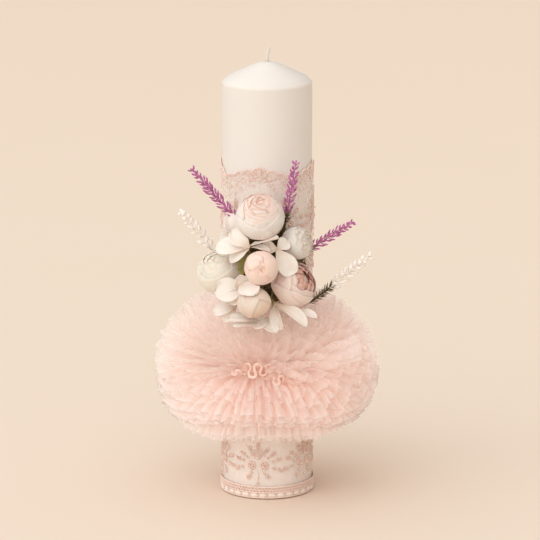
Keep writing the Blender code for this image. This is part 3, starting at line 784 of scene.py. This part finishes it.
def tulle_layer(name, fan, reach, folds, depth, seed, start, doubled, pleat=0.0012):
    """A gathered flounce round the candle.

    fan and reach are functions of the angle: which way the layer springs, and how far; depth is how
    deep its folds are at the free edge; start shifts where it leaves the gather line; a doubled
    layer has its free edge turned back; pleat is the height of the small pleats by the gather.
    """
    rows, cols = 26, 15 * folds
    theta = np.linspace(-math.pi, math.pi, cols + 1)[None, :-1]
    t = np.linspace(0, 1, rows) ** 0.85
    under = np.zeros(rows)
    if doubled:
        t = np.append(t, (0.99, 0.972, 0.955))
        under = np.append(under, (0.0003, 0.0006, 0.0007))
    t, under = t[:, None], under[:, None]
    phase = folds * theta + 2.0 * wobble(theta, seed + 1, (3, 5, 8, 13))
    phase = phase + 1.25 * wobble(theta, seed + 20, (17, 24, 31))
    phase = phase + t * 1.3 * wobble(theta, seed + 2, (7, 11, 19))
    phase = phase + 0.5 * t * t * wobble(theta, seed + 9, (29, 41))
    swell = 1 + 0.36 * wobble(theta, seed + 3, (9, 17, 26)) + 0.2 * wobble(theta + 2.1 * t, seed + 4, (5, 12))
    amount = depth(theta) * swell * (0.10 + 0.90 * smooth(0.0, 0.75, t)) * (1 - 0.35 * smooth(0.8, 1.0, t))
    tight = pleat * (1 - 0.65 * front(theta, -9, 30)) * np.exp(-((t / (0.16 + 100 * pleat)) ** 2))
    crease = np.sin(phase)
    push = amount * (crease + 0.18 * np.sin(2 * phase + 1.1)) + tight * np.sin(3 * phase + 0.7)
    push = push - under + 0.0004 * t * wobble(theta, seed + 5, (61, 83, 107))
    uneven = (0.005 + 0.021 * front(theta, 0, 58)) * (1 + 0.9 * wobble(theta, seed + 15, (13, 19, 28)))
    vary = 1 + 0.018 * wobble(theta, seed + 6, (4, 9, 21)) + uneven * np.sin(phase[rows - 1] + 0.6)
    long = reach(theta) * vary
    ragged = 0.0003 * np.abs(wobble(theta, seed + 7, (173, 251, 337)))
    dist = 0.0006 + (long - ragged) * t
    turn = fan(theta) * (0.80 + 0.20 * smooth(0, 0.6, t)) + 0.045 * wobble(theta, seed + 8, (3, 6, 10)) * t
    radius = GATHER_R + dist * np.cos(turn) - push * np.sin(turn)
    height = GATHER_Z + start + dist * np.sin(turn) + push * np.cos(turn) - 0.006 * t * t * np.cos(turn)
    slip = -(0.26 * amount / (GATHER_R + dist)) * np.sin(2 * phase) * 0.62
    slip = slip + 0.02 * t * wobble(theta, seed + 12, (6, 10, 15))
    away = theta - SWEET
    slip = slip - 0.55 * away * np.exp(-((away / 0.85) ** 2)) * (1 - t) ** 1.3
    points = around(theta + slip, np.maximum(radius, SLEEVE_R + 0.0009), height)
    # Painted light in the net's colour: shade rises from the gather line to the free edge, so the net is
    # deeper and more orange near the gather, partly painted shade for the shadowed gather; the crease term
    # paints a highlight on each fold ridge and shade in each valley; the last term adds a pale line along the
    # free edge.
    shade = np.clip(0.15 + 0.65 * t + 0.16 * crease + 0.25 * smooth(0.92, 1.0, t), 0, 1)
    uv = pairs(theta, t)
    bag = Bag()
    bag.grid(np.concatenate([points, points[:, :1]], 1), np.concatenate([shade, shade[:, :1]], 1),
             uv=np.concatenate([uv, uv[:, :1] + [TAU, 0]], 1))
    made = piece(name, bag, LOOK["tulle"])
    float(np.mean(reach(theta)))
    return made


def make_tulle():
    rad = math.radians
    layers = 10

    def upper_face(theta):
        return -rad(1) + rad(24) * front(theta, -8, 36)

    def lower_face(theta):
        return -rad(4) - rad(8) * front(theta, -14, 48)

    def tier(short):
        """Length of a layer against the outermost: the first layers are shorter at the front only."""
        def size(theta):
            return 1 - (1 - short) * front(theta, -10, 56)
        return size

    upper_sizes = (0.48, 0.66, 0.80, 0.90, 0.96, 1.0, 1.0, 1.0, 1.0, 1.0)
    lower_folds = (33, 37, 35, 41, 45, 43, 50, 47, 52, 49)
    lower_sizes = (0.38, 0.45, 0.50, 0.68, 0.74, 0.78, 0.93, 0.98, 1.0, 1.0)

    for i in range(layers):
        share = i / (layers - 1)
        size = tier(upper_sizes[i])

        def fan(theta, share=share):
            return upper_face(theta) + (rad(85) - upper_face(theta)) * share

        def reach(theta, size=size, share=share):
            side = 0.03 * front(theta, -80, 45) - 0.03 * front(theta, 80, 50)
            return REACH * size(theta) * (0.985 + side) * (1 + 0.012 * math.sin(9 * share))

        def depth(theta, share=share):
            calm = 1 - 0.66 * front(theta, -75, 62)
            return (0.0038 - 0.0010 * share) * calm * (1 - 0.3 * front(theta, 0, 30) * share)

        tulle_layer(f"tulle_upper_{i + 1}", fan, reach, 36 + (i * 5) % 9, depth, 100 + 20 * i,
                                0.0003 * i, False, 0.0020)
    for i in range(layers):
        share = i / (layers - 1)
        size = tier(lower_sizes[i])

        def fan(theta, share=share):
            return lower_face(theta) - (rad(85) + lower_face(theta)) * share

        def reach(theta, size=size, share=share):
            side = 0.03 * front(theta, -80, 45) - 0.03 * front(theta, 80, 50)
            lift = 0.10 * front(theta, -2, 42) * smooth(0.35, 0.8, share)
            part = 0.985 + 0.06 * share + side - lift
            return REACH * size(theta) * part * (1 + 0.012 * math.sin(7 * share))

        def depth(theta, share=share):
            calm = 1 - 0.45 * front(theta, -80, 48) + 0.15 * front(theta, -5, 45)
            return (0.0054 - 0.0020 * share) * calm

        tulle_layer(f"tulle_lower_{i + 1}", fan, reach, lower_folds[i], depth, 400 + 20 * i,
                                -0.0003 * i, i < 6)
    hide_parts("tulle_ruffle_upper")
    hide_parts("tulle_ruffle_lower")


def make_fold():
    """The broad smooth fold that lies over the ruffle on the right: two sheets of net."""
    u, t = np.linspace(0, 1, 150)[None, :], np.linspace(0, 1, 22)[:, None]
    for k, lift in enumerate((0.0, 0.0016)):
        theta = np.radians(FOLD_IN[0] + (FOLD_IN[1] - FOLD_IN[0]) * u)
        ends = np.radians(FOLD_OUT[0] + (FOLD_OUT[1] - FOLD_OUT[0]) * u)
        turn = np.radians(FOLD_TURN[0] + (FOLD_TURN[1] - FOLD_TURN[0]) * u) * (0.7 + 0.3 * t) + 0.02 * k
        wave = 0.0017 * (0.25 + 0.75 * t) * np.sin(17 * u + 0.9 * t + 0.8 * k)
        wave = wave + 0.0006 * t * np.sin(47 * u + 2.0 * t)
        dist = 0.004 + (REACH * (0.955 - 0.05 * k + 0.012 * np.sin(23 * u + k)) - 0.004) * t
        radius = GATHER_R + dist * np.cos(turn) - (wave + lift) * np.sin(turn)
        height = GATHER_Z + 0.002 + dist * np.sin(turn) + (wave + lift) * np.cos(turn)
        points = around(theta + (ends - theta) * t ** 0.9, radius, height)
        bag = Bag()
        # Shade rises from the gather line outwards: the fold is painted a little deeper near the gather,
        # partly painted shade, as on the layers.
        bag.grid(points, np.clip(0.55 + 0.4 * t + 0 * u, 0, 1), uv=pairs(u, t))
        made = piece(f"tulle_fold_{k + 1}", bag, LOOK["tulle"])


def make_ruche():
    """The squeezed edge of net that winds along the gather line at the front, with smaller loops beside it.

    A strip is (middle in degrees from SWEET, width, rise, length, height of its loops, loops, seed).
    """
    t = np.linspace(0, 1, 9)[:, None]
    strips = ((8.0, 12.0, 0.0072, 0.0165, 0.0052, 43, 71), (26.0, 9.0, -0.0010, 0.0140, 0.0032, 46, 72),
              (-9.0, 9.0, 0.0030, 0.0110, 0.0018, 47, 73), (40.0, 9.0, -0.0060, 0.0150, 0.0028, 44, 74))
    rim = Bag()
    for k, (shift, width, rise, long, tall, loops, seed) in enumerate(strips):
        mid = math.degrees(SWEET) + shift
        theta = np.linspace(math.radians(mid - 2.1 * width), math.radians(mid + 2.1 * width), 420)[None, :]
        near = front(theta, mid, width)
        phase = loops * (theta - math.radians(mid)) + 0.5 * wobble(theta, seed, (5, 9, 14))
        high = (0.0003 + tall * near) * (0.35 + 0.65 * t)
        dist = 0.0020 + (0.0040 + long * near) * t
        height = GATHER_Z + rise * (0.3 + 0.7 * t) + high * np.sin(phase)
        slip = -0.30 * high / (GATHER_R + dist) * np.sin(2 * phase)
        points = around(theta + slip, GATHER_R + dist, height)
        bag = Bag()
        # Shade rises from the gather line outwards: the strip is painted deeper near the gather, partly
        # painted shade.
        bag.grid(points, 0.3 + 0.7 * t + 0 * theta, uv=pairs(theta, t))
        stands_for = ["tulle_cord"] if k == 0 else ()
        made = piece(f"tulle_ruche_{k + 1}", bag, LOOK["ruche"], replaces=stands_for)
        shown = near[0] > 0.12
        rim.tube(points[-1][shown], 0.00040 + 0.00075 * near[0][shown] ** 2, 8, 0.8)
    piece("tulle_ruche_rolled_edge", rim, LOOK["rolled"])
    band = Bag()
    turn = np.linspace(0, TAU, 721)[:-1][None, :]
    rise = np.linspace(-1, 1, 13)[:, None]
    pleat = 0.0004 * np.sin(120 * turn + 0.8 * wobble(turn, 5, (3, 7)))
    low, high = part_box("tulle_band")
    z = (low.z + high.z) / 2 + rise * (high.z - low.z) / 2
    band.grid(around(turn, high.x + 0.0004 + pleat * (1 - rise ** 2), z), 0.3, wrap=True)
    made = piece("tulle_band_pleats", band, LOOK["ruche"], replaces=["tulle_band"])


make_tulle()
make_fold()
make_ruche()


# ---------------------------------------------------------------- posy: pads and greenery


def node_points(name):
    """Corner points of a CAD node, in the row frame."""
    return np.array([v.co for v in frame["nodes"][name].data.vertices], float)


def middle(name):
    low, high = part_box(name)
    return np.array((low + high) / 2)


TWIST = 0.35  # radians that each layer of petals turns past the last
HEADS = ("ranunculus_blush", "ranunculus_white", "peony_pink", "peony_cream", "bud_peach", "bud_cream")


def head_ball(name):
    """Centre and radius of a flower head."""
    low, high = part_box(name + "_petals")
    return middle(name + "_heart"), max(high - low) / 2 * 1.04


def make_felt():
    low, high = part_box("corsage_backing")
    spread = math.asin(min(1.0, high.x / 0.0377))
    u, v = np.linspace(-1, 1, 40)[None, :], np.linspace(-1, 1, 30)[:, None]
    pinch = np.sqrt(np.maximum(0.04, 1 - 0.92 * u ** 2))
    z = (low.z + high.z) / 2 + v * pinch * (high.z - low.z) / 2
    theta = u * spread + 0 * v
    bag = Bag()
    bag.grid(around(theta, 0.03695 + 0.0001 * np.sin(40 * theta + 9 * v), z))
    felt = piece("backing_felt", bag, LOOK["felt"], replaces=["corsage_backing"], thickness=0.0012)

def make_moss():
    """Tufts and needles on the moss pad, where it shows between the flowers."""
    rng = np.random.default_rng(21)
    shell = node_points("moss_pad")
    outer = shell[np.hypot(shell[:, 0], shell[:, 1]) > 0.0386]
    low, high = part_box("moss_pad")
    waist = (low.z + high.z) / 2

    def pad_reach(point):
        """1 on the oval rim of the moss that shows between the flowers."""
        return math.hypot(point[0] / 0.027, (point[2] - waist) / 0.031)

    outer = outer[[pad_reach(p) < 1 for p in outer]]
    bag = Bag()
    for point in outer:
        for _ in range(5):
            centre = point + rng.normal(0, 0.0013, 3)
            out = level_out(centre)
            size = rng.uniform(0.0013, 0.0024)
            side, up = basis(out)
            axes = (side * size, up * size, out * size * 0.8)
            bag.ball(centre - out * 0.0006, axes, 7, 4, rng.uniform(0, 1))
    balls = [head_ball(name) for name in HEADS]
    for _ in range(800):
        point = outer[rng.integers(len(outer))] + rng.normal(0, 0.002, 3)
        out = level_out(point)
        aim = unit(out + rng.normal(0, 0.75, 3))
        tip = point + aim * rng.uniform(0.004, 0.010)
        hidden = any(np.linalg.norm(tip - c) < r for c, r in balls) or np.hypot(tip[0], tip[1]) < 0.0385
        if not hidden and pad_reach(tip) <= 1.12:
            needle = bezier(point, out, tip, aim, 4)
            bag.tube(needle, [0.00035, 0.0004, 0.0003, 0.0001], 4, rng.uniform(0, 1))
    piece("moss_needles", bag, LOOK["moss"], replaces=["moss_pad"])

def leaf_blade(bag, base, tip, width, lift, rng):
    """Toothed leaf with a folded midrib, curling towards its tip."""
    side, up = basis(tip - base)
    along = np.linspace(0, 1, 25)[:, None]
    across = np.linspace(-1, 1, 9)[None, :]
    half = width / 2 * np.sin(np.pi * along ** 0.8) ** 0.8 * (1 + 0.5 * ((along * 6) % 1) - 0.2) + 0.0002
    points = base + (tip - base) * along[..., None] + side * (across * half)[..., None]
    bend = lift * np.sin(np.pi * along) + 0.32 * np.abs(across) * half
    bend = bend + 0.0004 * np.sin(along * 20) * across ** 2
    bag.grid(points + up * bend[..., None], 0.3 + 0.6 * np.abs(across) + 0 * along,
             uv=pairs(across, along))


def make_leaves():
    """Each leaf: (node, base and tip as offsets in mm from the CAD leaf's own tip, width in mm)."""
    rng = np.random.default_rng(31)
    bag = Bag()
    plans = (("leaf_left", (7.5, 10.0, 6.5), (2.5, 3.0, -10.0), 9.0),
             ("leaf_low", (2.0, 9.0, 5.0), (0.5, 3.0, -1.0), 6.0),
             ("leaf_right", (-11.0, 6.5, 1.0), (-17.0, -2.0, -3.0), 6.0))
    for name, root, end, width in plans:
        points = node_points(name)
        tip, foot = points[points[:, 1].argmin()], points[points[:, 1].argmax()]
        base, top = tip + np.array(root) * MM, tip + np.array(end) * MM
        leaf_blade(bag, base, top, width * MM, 0.0012, rng)
        bag.tube(bezier(foot, (0, -1, 0), base, unit(top - base), 8), 0.0005, 6, 0.2)
    piece("leaves", bag, LOOK["leaf"], replaces=["leaf_left", "leaf_low", "leaf_right"],
          thickness=0.00035)
    for name, node in frame["nodes"].items():
        if name.endswith("_stem") or name.endswith("_stub"):
            node.material_slots[0].material = LOOK["green"]
    frame["nodes"]["wick_sustainer"].material_slots[0].material = LOOK["steel"]


# ---------------------------------------------------------------- posy: flowers


def shell_petal(bag, ball, turn, half, foot, rim, girth, crown, rng, drop, lip, wave, tones, line):
    """Cupped petal that follows a ball: it rises from foot to rim (angles from the stem).

    girth and crown are its distance from the middle at the ball's waist and at its top, as shares of
    the ball's radius; drop rounds its outline; lip rolls the rim outwards; wave ripples it; line tints
    the rim with the heart's colour.
    """
    centre, radius, side, up, axis = ball
    u, v = np.linspace(-1, 1, 17)[None, :], np.linspace(0, 1, 18)[:, None]
    edge = rim - drop * np.abs(u) ** 2.3
    edge = edge + wave * (np.sin(u * 5.0 + rng.uniform(0, TAU)) + 0.6 * np.sin(u * 9.0 + rng.uniform(0, TAU)))
    tilt = foot + v * (edge - foot)
    wide = half * (0.40 + 0.60 * np.sin(np.minimum(v * 1.2, 1) * math.pi / 2))
    angle = turn + u * wide / np.maximum(np.sin(tilt), 0.42)
    share = girth + (crown - girth) * smooth(math.radians(85), math.radians(150), tilt)
    share = share * (0.74 + 0.26 * smooth(0, 0.5, v)) + lip * smooth(0.74, 1.0, v) * (1 - 0.4 * u ** 2)
    share = share + 0.016 * np.abs(u) ** 3 + 0.008 * np.sin(u * 3 + rng.uniform(0, TAU)) * v
    across = np.cos(angle)[..., None] * side + np.sin(angle)[..., None] * up
    aim = np.sin(tilt)[..., None] * across - np.cos(tilt)[..., None] * axis
    points = centre + radius * share[..., None] * aim
    tone = tones[0] + (tones[1] - tones[0]) * smooth(0.35, 0.9, v) + 0 * u
    tone = np.clip(tone - line * smooth(0.91, 1.0, v), 0, 1)
    bag.grid(points, tone, uv=pairs(u, v))


def head(name, axis, layers, look, seed, drop=0.30, turn=None, core=0.88):
    """Flower head from layers of petals, the outermost first.

    A layer is (petals, rim angle, half width, girth, crown, lip, wave, (base tone, rim tone), rim line).
    """
    rng = np.random.default_rng(seed)
    centre, radius = head_ball(name)
    axis = unit(axis)
    side, up = basis(axis)
    ball = (centre, radius, side, up, axis)
    bag = Bag()
    start = rng.uniform(0, TAU) if turn is None else math.radians(turn)
    for count, rim, half, girth, crown, lip, wave, tones, line in layers:
        start += TWIST + math.pi / count
        for k in range(count):
            at = start + TAU * k / count + rng.uniform(-0.10, 0.10)
            skew = 0.012 * (k % 2) + rng.uniform(-0.004, 0.004)
            shell_petal(bag, ball, at, math.radians(half), math.radians(28),
                        math.radians(rim + rng.uniform(-3, 3)), girth + skew, crown + skew, rng, drop,
                        lip, math.radians(wave), tones, line)
    bag.ball(centre, (side * radius * 0.62, up * radius * 0.62, axis * radius * core), 18, 12, 0.45)
    piece(name + "_head", bag, LOOK[look], thickness=0.00028,
          replaces=[name + "_petals", name + "_heart"])


def rosette(first, last, petals, wave, body, lines):
    """Closing inner layers: rims that climb evenly from the first angle to the last."""
    rows = []
    for i, count in enumerate(petals):
        share = i / (len(petals) - 1)
        rim, line = first + (last - first) * share, lines[0] + (lines[1] - lines[0]) * share
        rows.append((count, rim, 52 - 20 * share, 0.95 - 0.20 * share, 0.965 - 0.09 * share, 0.012, wave,
                     (body, body + 0.25), line))
    return tuple(rows)


def make_heads():
    blush = ((4, 108, 74, 1.00, 0.995, 0.0, 1.0, (0.45, 0.92), 0.0),
             (4, 121, 66, 0.975, 0.98, 0.006, 1.2, (0.5, 0.92), 0.15),
             *rosette(131, 178, (5, 5, 5, 5, 4, 4, 3), 1.2, 0.62, (0.55, 0.95)))
    white = ((3, 118, 80, 1.00, 1.00, 0.0, 1.0, (0.55, 0.95), 0.0),
             (4, 124, 60, 0.96, 0.985, 0.02, 3.0, (0.5, 0.95), 0.2),
             *rosette(130, 178, (5, 5, 4, 4, 3), 6.5, 0.5, (0.7, 0.9)))
    pink = ((3, 103, 58, 1.03, 1.02, 0.03, 2.0, (0.5, 1.0), 0.0),
            (3, 122, 70, 1.00, 1.00, 0.03, 2.0, (0.5, 0.98), 0.0),
            (4, 128, 64, 0.955, 0.98, 0.02, 2.5, (0.45, 0.95), 0.0),
            (4, 135, 52, 0.91, 0.955, 0.01, 3.0, (0.3, 0.8), 0.0),
            (9, 146, 17, 0.80, 0.90, 0.0, 4.0, (0.0, 0.34), 0.0),
            (8, 155, 15, 0.68, 0.86, 0.0, 5.0, (0.0, 0.25), 0.0),
            (6, 166, 13, 0.55, 0.82, 0.0, 5.0, (0.0, 0.2), 0.0))
    cream = ((4, 124, 74, 1.00, 1.00, 0.0, 1.5, (0.5, 0.9), 0.0),
             (4, 140, 60, 0.97, 0.985, 0.004, 2.5, (0.5, 0.9), 0.1),
             *rosette(150, 179, (4, 4, 3), 3.0, 0.6, (0.25, 0.35)))
    closed = ((3, 168, 84, 1.00, 0.995, 0.010, 0.5, (0.4, 0.8), 0.25),
              (3, 176, 76, 0.965, 0.975, 0.004, 0.5, (0.3, 0.7), 0.25),
              (3, 180, 64, 0.94, 0.955, 0.0, 0.5, (0.2, 0.6), 0.2))
    head("ranunculus_blush", (0.04, -0.54, 0.84), blush, "blush", 51)
    head("ranunculus_white", (0.74, -0.50, 0.45), white, "white", 52, turn=150)
    head("peony_pink", (0.72, -0.45, 0.53), pink, "pink", 53, drop=0.42, core=0.66)
    head("peony_cream", (-0.30, -0.55, 0.78), cream, "cream", 54)
    head("bud_peach", (0.02, -0.99, 0.10), closed, "peach", 55, drop=0.55, turn=30)
    head("bud_cream", (-0.12, -0.42, 0.90), closed, "beige", 56, drop=0.55)

def flat_petal(bag, base, tip, face, width, cup, curl, rng):
    """Broad hydrangea petal: narrow at its base, round at its tip, cupped across and curled along."""
    aim = unit(tip - base)
    length = np.linalg.norm(tip - base)
    normal = unit(np.asarray(face, float) - aim * np.dot(face, aim))
    side = np.cross(aim, normal)
    s = (1 - np.cos(np.linspace(0, math.pi, 22))) / 2
    v, u = s[:, None], np.linspace(-1, 1, 17)[None, :]
    half = width / 2 * np.where(v < 0.60, 0.16 + 0.84 * np.sin(np.minimum(v / 0.60, 1) * math.pi / 2) ** 1.2,
                                np.sqrt(np.maximum(0.0, 1 - ((v - 0.60) / 0.40) ** 2)))
    half = np.maximum(half, 0.0002)
    rise = cup * half * u ** 2 * 2.0 - curl * length * v ** 2 + 0.05 * length * np.sin(math.pi * v)
    ripple = np.sin(u * 4 + v * 3 + rng.uniform(0, TAU)) + 0.6 * np.sin(u * 7 - v * 5 + rng.uniform(0, TAU))
    rise = rise + 0.050 * width * ripple * v * (0.25 + np.abs(u))
    points = base + aim * (length * v)[..., None] + side * (u * half)[..., None] + normal * rise[..., None]
    tone = 0.15 + 0.75 * smooth(0.0, 0.6, v) + 0.10 * smooth(0.7, 1.0, np.abs(u))
    bag.grid(clear_of_heads(points), tone, uv=pairs(u, v))


def clear_of_heads(points):
    """Drapes a petal over the flower heads: what would be inside one moves out to its surface."""
    for centre, radius in map(head_ball, HEADS):
        away = points - centre
        far = np.linalg.norm(away, axis=-1, keepdims=True)
        points = np.where(far < radius + 0.0008, centre + away / far * (radius + 0.0008), points)
    return points


def make_florets():
    """Each floret is its node and its petals.

    A petal is (base offset, tip offset, facing, width, cup, curl): offsets in mm from the floret's
    middle, width in mm, cup and curl as shares of the width and the length.
    """
    plans = {
        "hydrangea_1": (((2, 0, 0), (-11.6, 5, 12), (-0.2, -0.9, 0.45), 14.5, 0.16, 0.05),
                        ((1, 0, 0), (-23.5, 8, -2.0), (0.0, -0.8, 0.6), 15.0, 0.10, 0.0),
                        ((2, 0, -1), (-13.5, 1, -10.5), (0.15, -0.55, 0.82), 13.0, 0.12, 0.12),
                        ((3, 0, 1), (25, -5, 7.5), (0.1, -0.30, 0.95), 11.0, 0.20, -0.06),
                        ((4, 0, 0), (18, -5, -2.0), (0.2, -0.28, 0.95), 9.0, 0.25, 0.05)),
        "hydrangea_2": (((4, -3, -9), (-1.5, 1, 10), (0.12, -0.98, 0.15), 12.5, 0.14, 0.06),
                        ((2, -2, -7), (-8, 0, -12), (0.0, -0.9, 0.4), 11.0, 0.14, 0.06)),
        "hydrangea_3": (((0.5, 0, 2), (13.6, -3.0, -17.5), (0.15, -0.95, 0.12), 16.0, 0.14, 0.05),
                        ((1, 0, 2), (-10.5, 4, 3.5), (0.0, -0.95, 0.3), 11.0, 0.20, 0.0),
                        ((1, 1, 2), (9, 6, 8), (0.2, -0.9, 0.4), 11.0, 0.2, 0.1)),
        "hydrangea_4": (((5, 0, -1), (-18.5, -4.5, -3.0), (-0.15, -0.92, 0.36), 19.0, 0.14, 0.10),
                        ((1, -4, 3), (13.0, -23, -2.0), (-0.05, -0.70, 0.70), 17.0, 0.12, -0.10),
                        ((4, -1, -2), (0.5, -6, 9.5), (0.0, -0.85, 0.5), 13.5, 0.2, 0.12),
                        ((3, -1, -2), (-9, -3, -12), (-0.1, -0.95, 0.1), 12.0, 0.2, 0.08)),
        "hydrangea_5": (((7, -1, 1.0), (-18, -9, 6.0), (0.05, -0.30, 0.95), 14.0, 0.08, 0.10),
                        ((6, -1, -0.5), (-14, -11, 1.5), (0.1, -0.38, 0.92), 13.0, 0.10, 0.12)),
        "hydrangea_6": (((-11, -2, 0.5), (3.5, -13, -5.0), (0.12, -0.55, 0.82), 12.5, 0.16, 0.12),
                        ((-3, -1, 2), (-14, -10, -3.0), (-0.1, -0.5, 0.85), 12.0, 0.12, 0.1)),
        "hydrangea_7": (((-13.5, -1, 10.5), (-7.5, -11, -6.5), (-0.55, -0.80, 0.15), 10.5, 0.45, 0.04),
                        ((-12.5, -1, 10.5), (10.5, -9, -5.5), (0.42, -0.72, 0.55), 10.5, 0.50, -0.04),
                        ((0, 1, 5), (19, -3, 1.0), (0.0, -0.45, 0.9), 8.0, 0.2, 0.02)),
        "hydrangea_8": (((2, 0, 4), (-15, -4, 0.7), (-0.1, -0.62, 0.78), 11.0, 0.16, 0.08),
                        ((2, 0, 3), (-7, -4, -6), (-0.1, -0.6, 0.8), 11.0, 0.16, 0.08)),
    }
    rng = np.random.default_rng(61)
    for name, petals in plans.items():
        points = node_points(name)
        centre = points[points[:, 1] < points[:, 1].min() + 0.007].mean(0)
        bag = Bag()
        for root, end, face, width, cup, curl in petals:
            base, tip = centre + np.array(root) * MM, centre + np.array(end) * MM
            flat_petal(bag, base, tip, face, width * MM, cup, curl, rng)
        foot = points[points[:, 1].argmax()]
        hub = centre + np.array(petals[0][0]) * MM
        bag.tube(bezier(foot, (0, -1, 0), hub + [0, 0.0006, 0], (0, -1, 0), 8), 0.0005, 6, 0.0)
        bag.ball(hub, np.eye(3) * 0.0010, 8, 4, 0.0)
        piece(name + "_petals", bag, LOOK["hydrangea"], replaces=[name], thickness=0.00024)


def bud(bag, base, out, ahead, length, thick, shade):
    """Slender club-shaped flower bud that leaves its stem outwards and turns up along it."""
    path = bezier(base, unit(out * 1.4 + ahead * 0.5), base + unit(out * 0.95 + ahead) * length,
                  unit(out * 0.6 + ahead), 7)
    bag.tube(path, thick * np.array([0.30, 0.45, 0.72, 0.95, 1.0, 0.78, 0.24]), 6, shade)


def make_sprig(name, nodes, ring, length, thick, bare, needles, look, seed):
    """Flower spike on its wire stem: rings of buds at even nodes, each ring turned against the last.

    bare is the share of the stem, from its foot, that has dark needles in place of buds.
    """
    rng = np.random.default_rng(seed)
    body = name + "_spike"
    points = node_points(name)
    joint = next(j for j in frame["record"]["behaviour"]["joints"] if j["child"] == body)
    pivot = np.array(joint["pos_m"])
    tip = points[np.linalg.norm(points - pivot, axis=1).argmax()]
    line = unit(tip - pivot)
    start = unit(unit(points[np.linalg.norm(points - pivot, axis=1) < 0.012].mean(0) - pivot) + line)
    steps = 60
    path = bezier(pivot + start * 0.0003, start, tip, line, steps)
    ahead = unit(np.gradient(path, axis=0))
    stems, buds, dark = Bag(), Bag(), Bag()
    stems.tube(path, np.linspace(0.0006, 0.00030, steps), 6, np.linspace(0.1, 0.8, steps))

    def outward(i, turn):
        side, up = basis(ahead[i])
        return math.cos(turn) * side + math.sin(turn) * up

    for k in range(nodes):
        share = bare + (0.97 - bare) * (k / (nodes - 1)) ** 0.95
        i = min(steps - 1, int(share * (steps - 1)))
        for j in range(ring):
            out = outward(i, TAU * (j + 0.5 * (k % 2)) / ring + 0.4 + rng.uniform(-0.2, 0.2))
            size = length * (1.0 - 0.42 * smooth(0.55, 1.0, share)) * rng.uniform(0.85, 1.12)
            foot = path[i] + out * 0.0003 + ahead[i] * rng.uniform(-0.0006, 0.0006)
            bud(buds, foot, out, ahead[i], size, thick * rng.uniform(0.85, 1.15), rng.uniform(0.1, 1))
    for k in range(3):
        out = outward(steps - 1, TAU * k / 3)
        foot = path[-1] - ahead[-1] * 0.0035
        bud(buds, foot, out * 0.2, ahead[-1], length * 0.42, thick * 0.7, rng.uniform(0.3, 1))
    if needles:
        reach = int((bare + 0.02) * steps)
        dark.tube(path[:reach], np.linspace(0.00085, 0.00045, reach), 6, 0.1)
    for k in range(needles):
        share = 0.02 + (bare + 0.01) * k / needles
        i = min(steps - 1, int(share * (steps - 1)))
        out = outward(i, GOLDEN * k + rng.uniform(-0.3, 0.3))
        end = path[i] + unit(ahead[i] * rng.uniform(0.5, 1.0) + out) * rng.uniform(0.0038, 0.0060)
        needle = bezier(path[i], out, end, ahead[i] + out, 4)
        dark.tube(needle, [0.0003, 0.00038, 0.00028, 0.0001], 4, rng.uniform(0, 1))
    piece(name + "_buds", buds, LOOK[look], body, replaces=[name])
    piece(name + "_wire", stems, LOOK[look], body)
    if needles:
        piece(name + "_needles", dark, LOOK["moss"], body)


def make_sprigs():
    """Each sprig: bud rings, buds a ring, bud length and thickness, bare share of the stem, needles, look."""
    plans = {
        "lavender_left": (14, 4, 0.0064, 0.00082, 0.02, 0, "lavender"),
        "lavender_top": (12, 4, 0.0062, 0.00080, 0.20, 30, "lavender"),
        "lavender_right": (11, 4, 0.0058, 0.00080, 0.12, 14, "lavender"),
        "white_left": (9, 3, 0.0066, 0.00140, 0.05, 6, "sprig"),
        "white_right": (9, 3, 0.0074, 0.00140, 0.36, 64, "sprig"),
    }
    for seed, (name, plan) in enumerate(plans.items(), 81):
        make_sprig(name, *plan, seed)

make_felt()
make_moss()
make_leaves()
make_heads()
make_florets()
make_sprigs()
